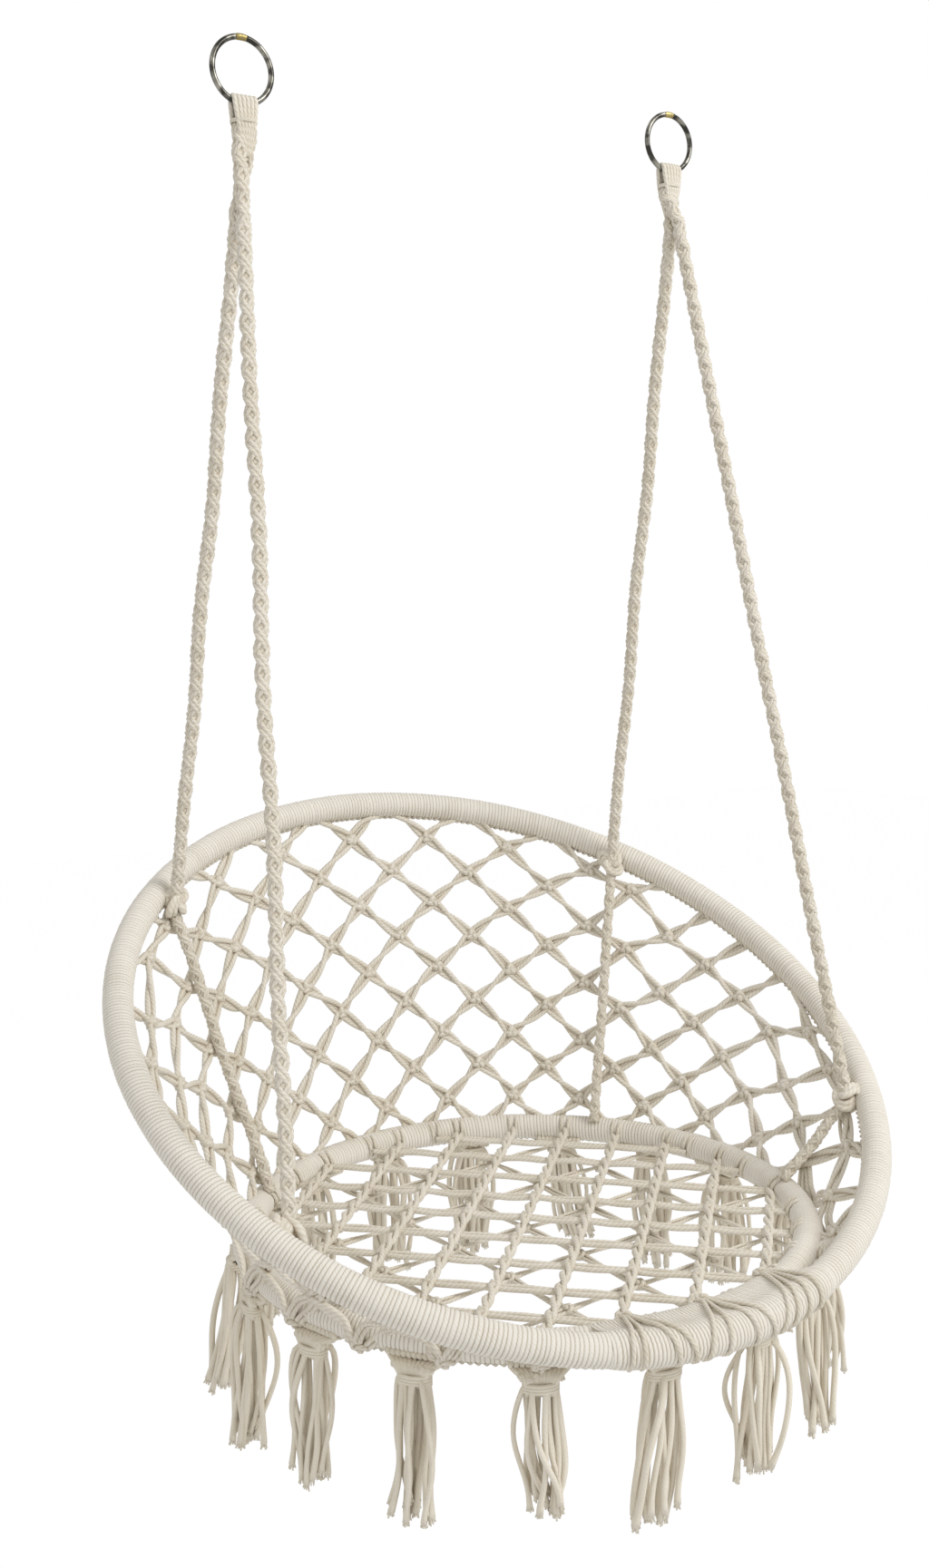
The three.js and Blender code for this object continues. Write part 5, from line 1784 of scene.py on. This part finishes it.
@dataclass
class Studio:
    """Camera at the photograph's angle, a pale floor and plain soft light."""

    camera_mm: tuple = (-880.0, -1351.0, -502.0)
    yaw: float = math.radians(-31.68)
    pitch: float = math.radians(-6.51)
    roll: float = math.radians(1.24)
    focal_px: float = 1744.7
    image_height: float = 1729.0
    sensor_mm: float = 36.0
    floor_half: float = 9.0
    floor_z: float = -2.15
    floor_white: float = 0.86
    world_light: float = 0.6
    lamp_aim: tuple = (0.0, 0.0, -0.95)
    lamp_list: tuple = (
        ("key", (1.5, -2.7, 1.6), 2.0, 74.0),
        ("fill", (-2.6, -1.2, 0.4), 2.4, 7.0),
    )

    def build(self) -> None:
        """Makes the camera, floor, lamps and world."""
        self.camera()
        self.floor()
        self.lamps()
        self.world()
        bpy.context.scene.view_settings.view_transform = "Standard"

    def camera(self) -> None:
        """Camera whose sensor height is the frame's and whose lens is in its pixels."""
        data = bpy.data.cameras.new("camera")
        data.sensor_fit = "VERTICAL"
        data.sensor_height = self.sensor_mm
        data.lens = self.sensor_mm * self.focal_px / self.image_height
        data.clip_end = 50.0
        eye = bpy.data.objects.new("camera", data)
        bpy.context.scene.collection.objects.link(eye)
        cp, sp = math.cos(self.pitch), math.sin(self.pitch)
        forward = np.array([-math.sin(self.yaw) * cp, math.cos(self.yaw) * cp, sp])
        right = np.array([math.cos(self.yaw), math.sin(self.yaw), 0.0])
        up = np.cross(right, forward)
        right, up = turned(self.roll, right, -up), turned(self.roll, up, right)
        matrix = Matrix.Identity(4)
        for row in range(3):
            matrix[row][0], matrix[row][1] = right[row], up[row]
            matrix[row][2], matrix[row][3] = -forward[row], self.camera_mm[row] * MM
        eye.matrix_world = matrix
        bpy.context.scene.camera = eye

    def floor(self) -> None:
        """Pale matt floor well below the tassels, near white to the camera.

        Camera, glossy and transmission rays see a mix of plain white and the lit
        floor, so that the floor keeps the chair's soft shadow.
        """
        half = self.floor_half
        mesh = bpy.data.meshes.new("pale_floor")
        corners = [(x * half, y * half, self.floor_z) for x, y in ((-1, -1), (1, -1), (1, 1), (-1, 1))]
        mesh.from_pydata(corners, [], [(0, 1, 2, 3)])
        piece = bpy.data.objects.new("pale_floor", mesh)
        bpy.context.scene.collection.objects.link(piece)
        material = bpy.data.materials.new("pale_floor")
        pen = NodePen(material)
        pen.shader.inputs["Base Color"].default_value = (0.93, 0.93, 0.93, 1)
        pen.shade(Roughness=0.9)
        white = pen.add("ShaderNodeEmission", Strength=1.06)
        mix = pen.add("ShaderNodeMixShader")
        pen.link(pen.math("MULTIPLY", self.seen_rays(pen), self.floor_white), mix.inputs[0])
        pen.link(pen.shader.outputs[0], mix.inputs[1])
        pen.link(white.outputs[0], mix.inputs[2])
        pen.link(mix.outputs[0], pen.tree.nodes["Material Output"].inputs[0])
        mesh.materials.append(material)

    def seen_rays(self, pen: NodePen) -> Socket:
        """1 for camera, glossy and transmission rays, 0 for the others."""
        rays = pen.add("ShaderNodeLightPath")
        seen = rays.outputs["Is Camera Ray"]
        for name in ("Is Glossy Ray", "Is Transmission Ray"):
            seen = pen.math("MAXIMUM", seen, rays.outputs[name])
        return seen

    def lamps(self) -> None:
        """A large soft key from the front right and a weak fill from the left."""
        for name, place, size, power in self.lamp_list:
            data = bpy.data.lights.new(name, "AREA")
            data.shape = "DISK"
            data.size = size
            data.energy = power
            lamp = bpy.data.objects.new(name, data)
            bpy.context.scene.collection.objects.link(lamp)
            lamp.location = place
            lamp.rotation_euler = self.aimed(np.array(self.lamp_aim) - np.array(place))

    def aimed(self, aim: Array) -> tuple[float, float, float]:
        """Euler angles that point a lamp's -Z along a direction."""
        aim = unit(aim)
        tilt = math.acos(-aim[2])
        turn = math.atan2(aim[1], aim[0])
        return (tilt, 0.0, turn - math.pi / 2)

    def world(self) -> None:
        """White to the camera and to reflections, softer as light."""
        world = bpy.data.worlds.new("plain_white")
        bpy.context.scene.world = world
        pen = NodePen(world)
        background = pen.tree.nodes["Background"]
        background.inputs[0].default_value = (1, 1, 1, 1)
        level = pen.add("ShaderNodeMapRange")
        level.inputs["To Min"].default_value = self.world_light
        level.inputs["To Max"].default_value = 1.0
        pen.link(self.seen_rays(pen), level.inputs["Value"])
        pen.link(level.outputs[0], background.inputs[1])


def main() -> None:
    """Loads the frame and builds the camera, the ropes and then every other piece.
    """
    logging.basicConfig(level=logging.INFO, format="%(name)s: %(message)s")
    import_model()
    Studio().build()
    chair = Chair()
    finishes = Finishes().build()
    for ring, lean, eye_length, front_turn, rear_turn in (
        (HangingRing("left", -263.0, finishes), -7.5, 105.0, 180 + 28.6, 135.7),
        (HangingRing("right", 223.0, finishes), 7.5, 62.0, -28.6, 39.2),
    ):
        ring.build()
        turns = math.radians(front_turn), math.radians(rear_turn)
        HangingRopes(ring, chair, finishes, lean, eye_length, *turns).build()
    Hoops(chair, finishes).build()
    BackNet(chair, finishes).build()
    SeatNet(chair, finishes).build()
    FrontLashing(chair, finishes).build()
    Fringe(chair, finishes).build()


if __name__ == "__main__":
    main()
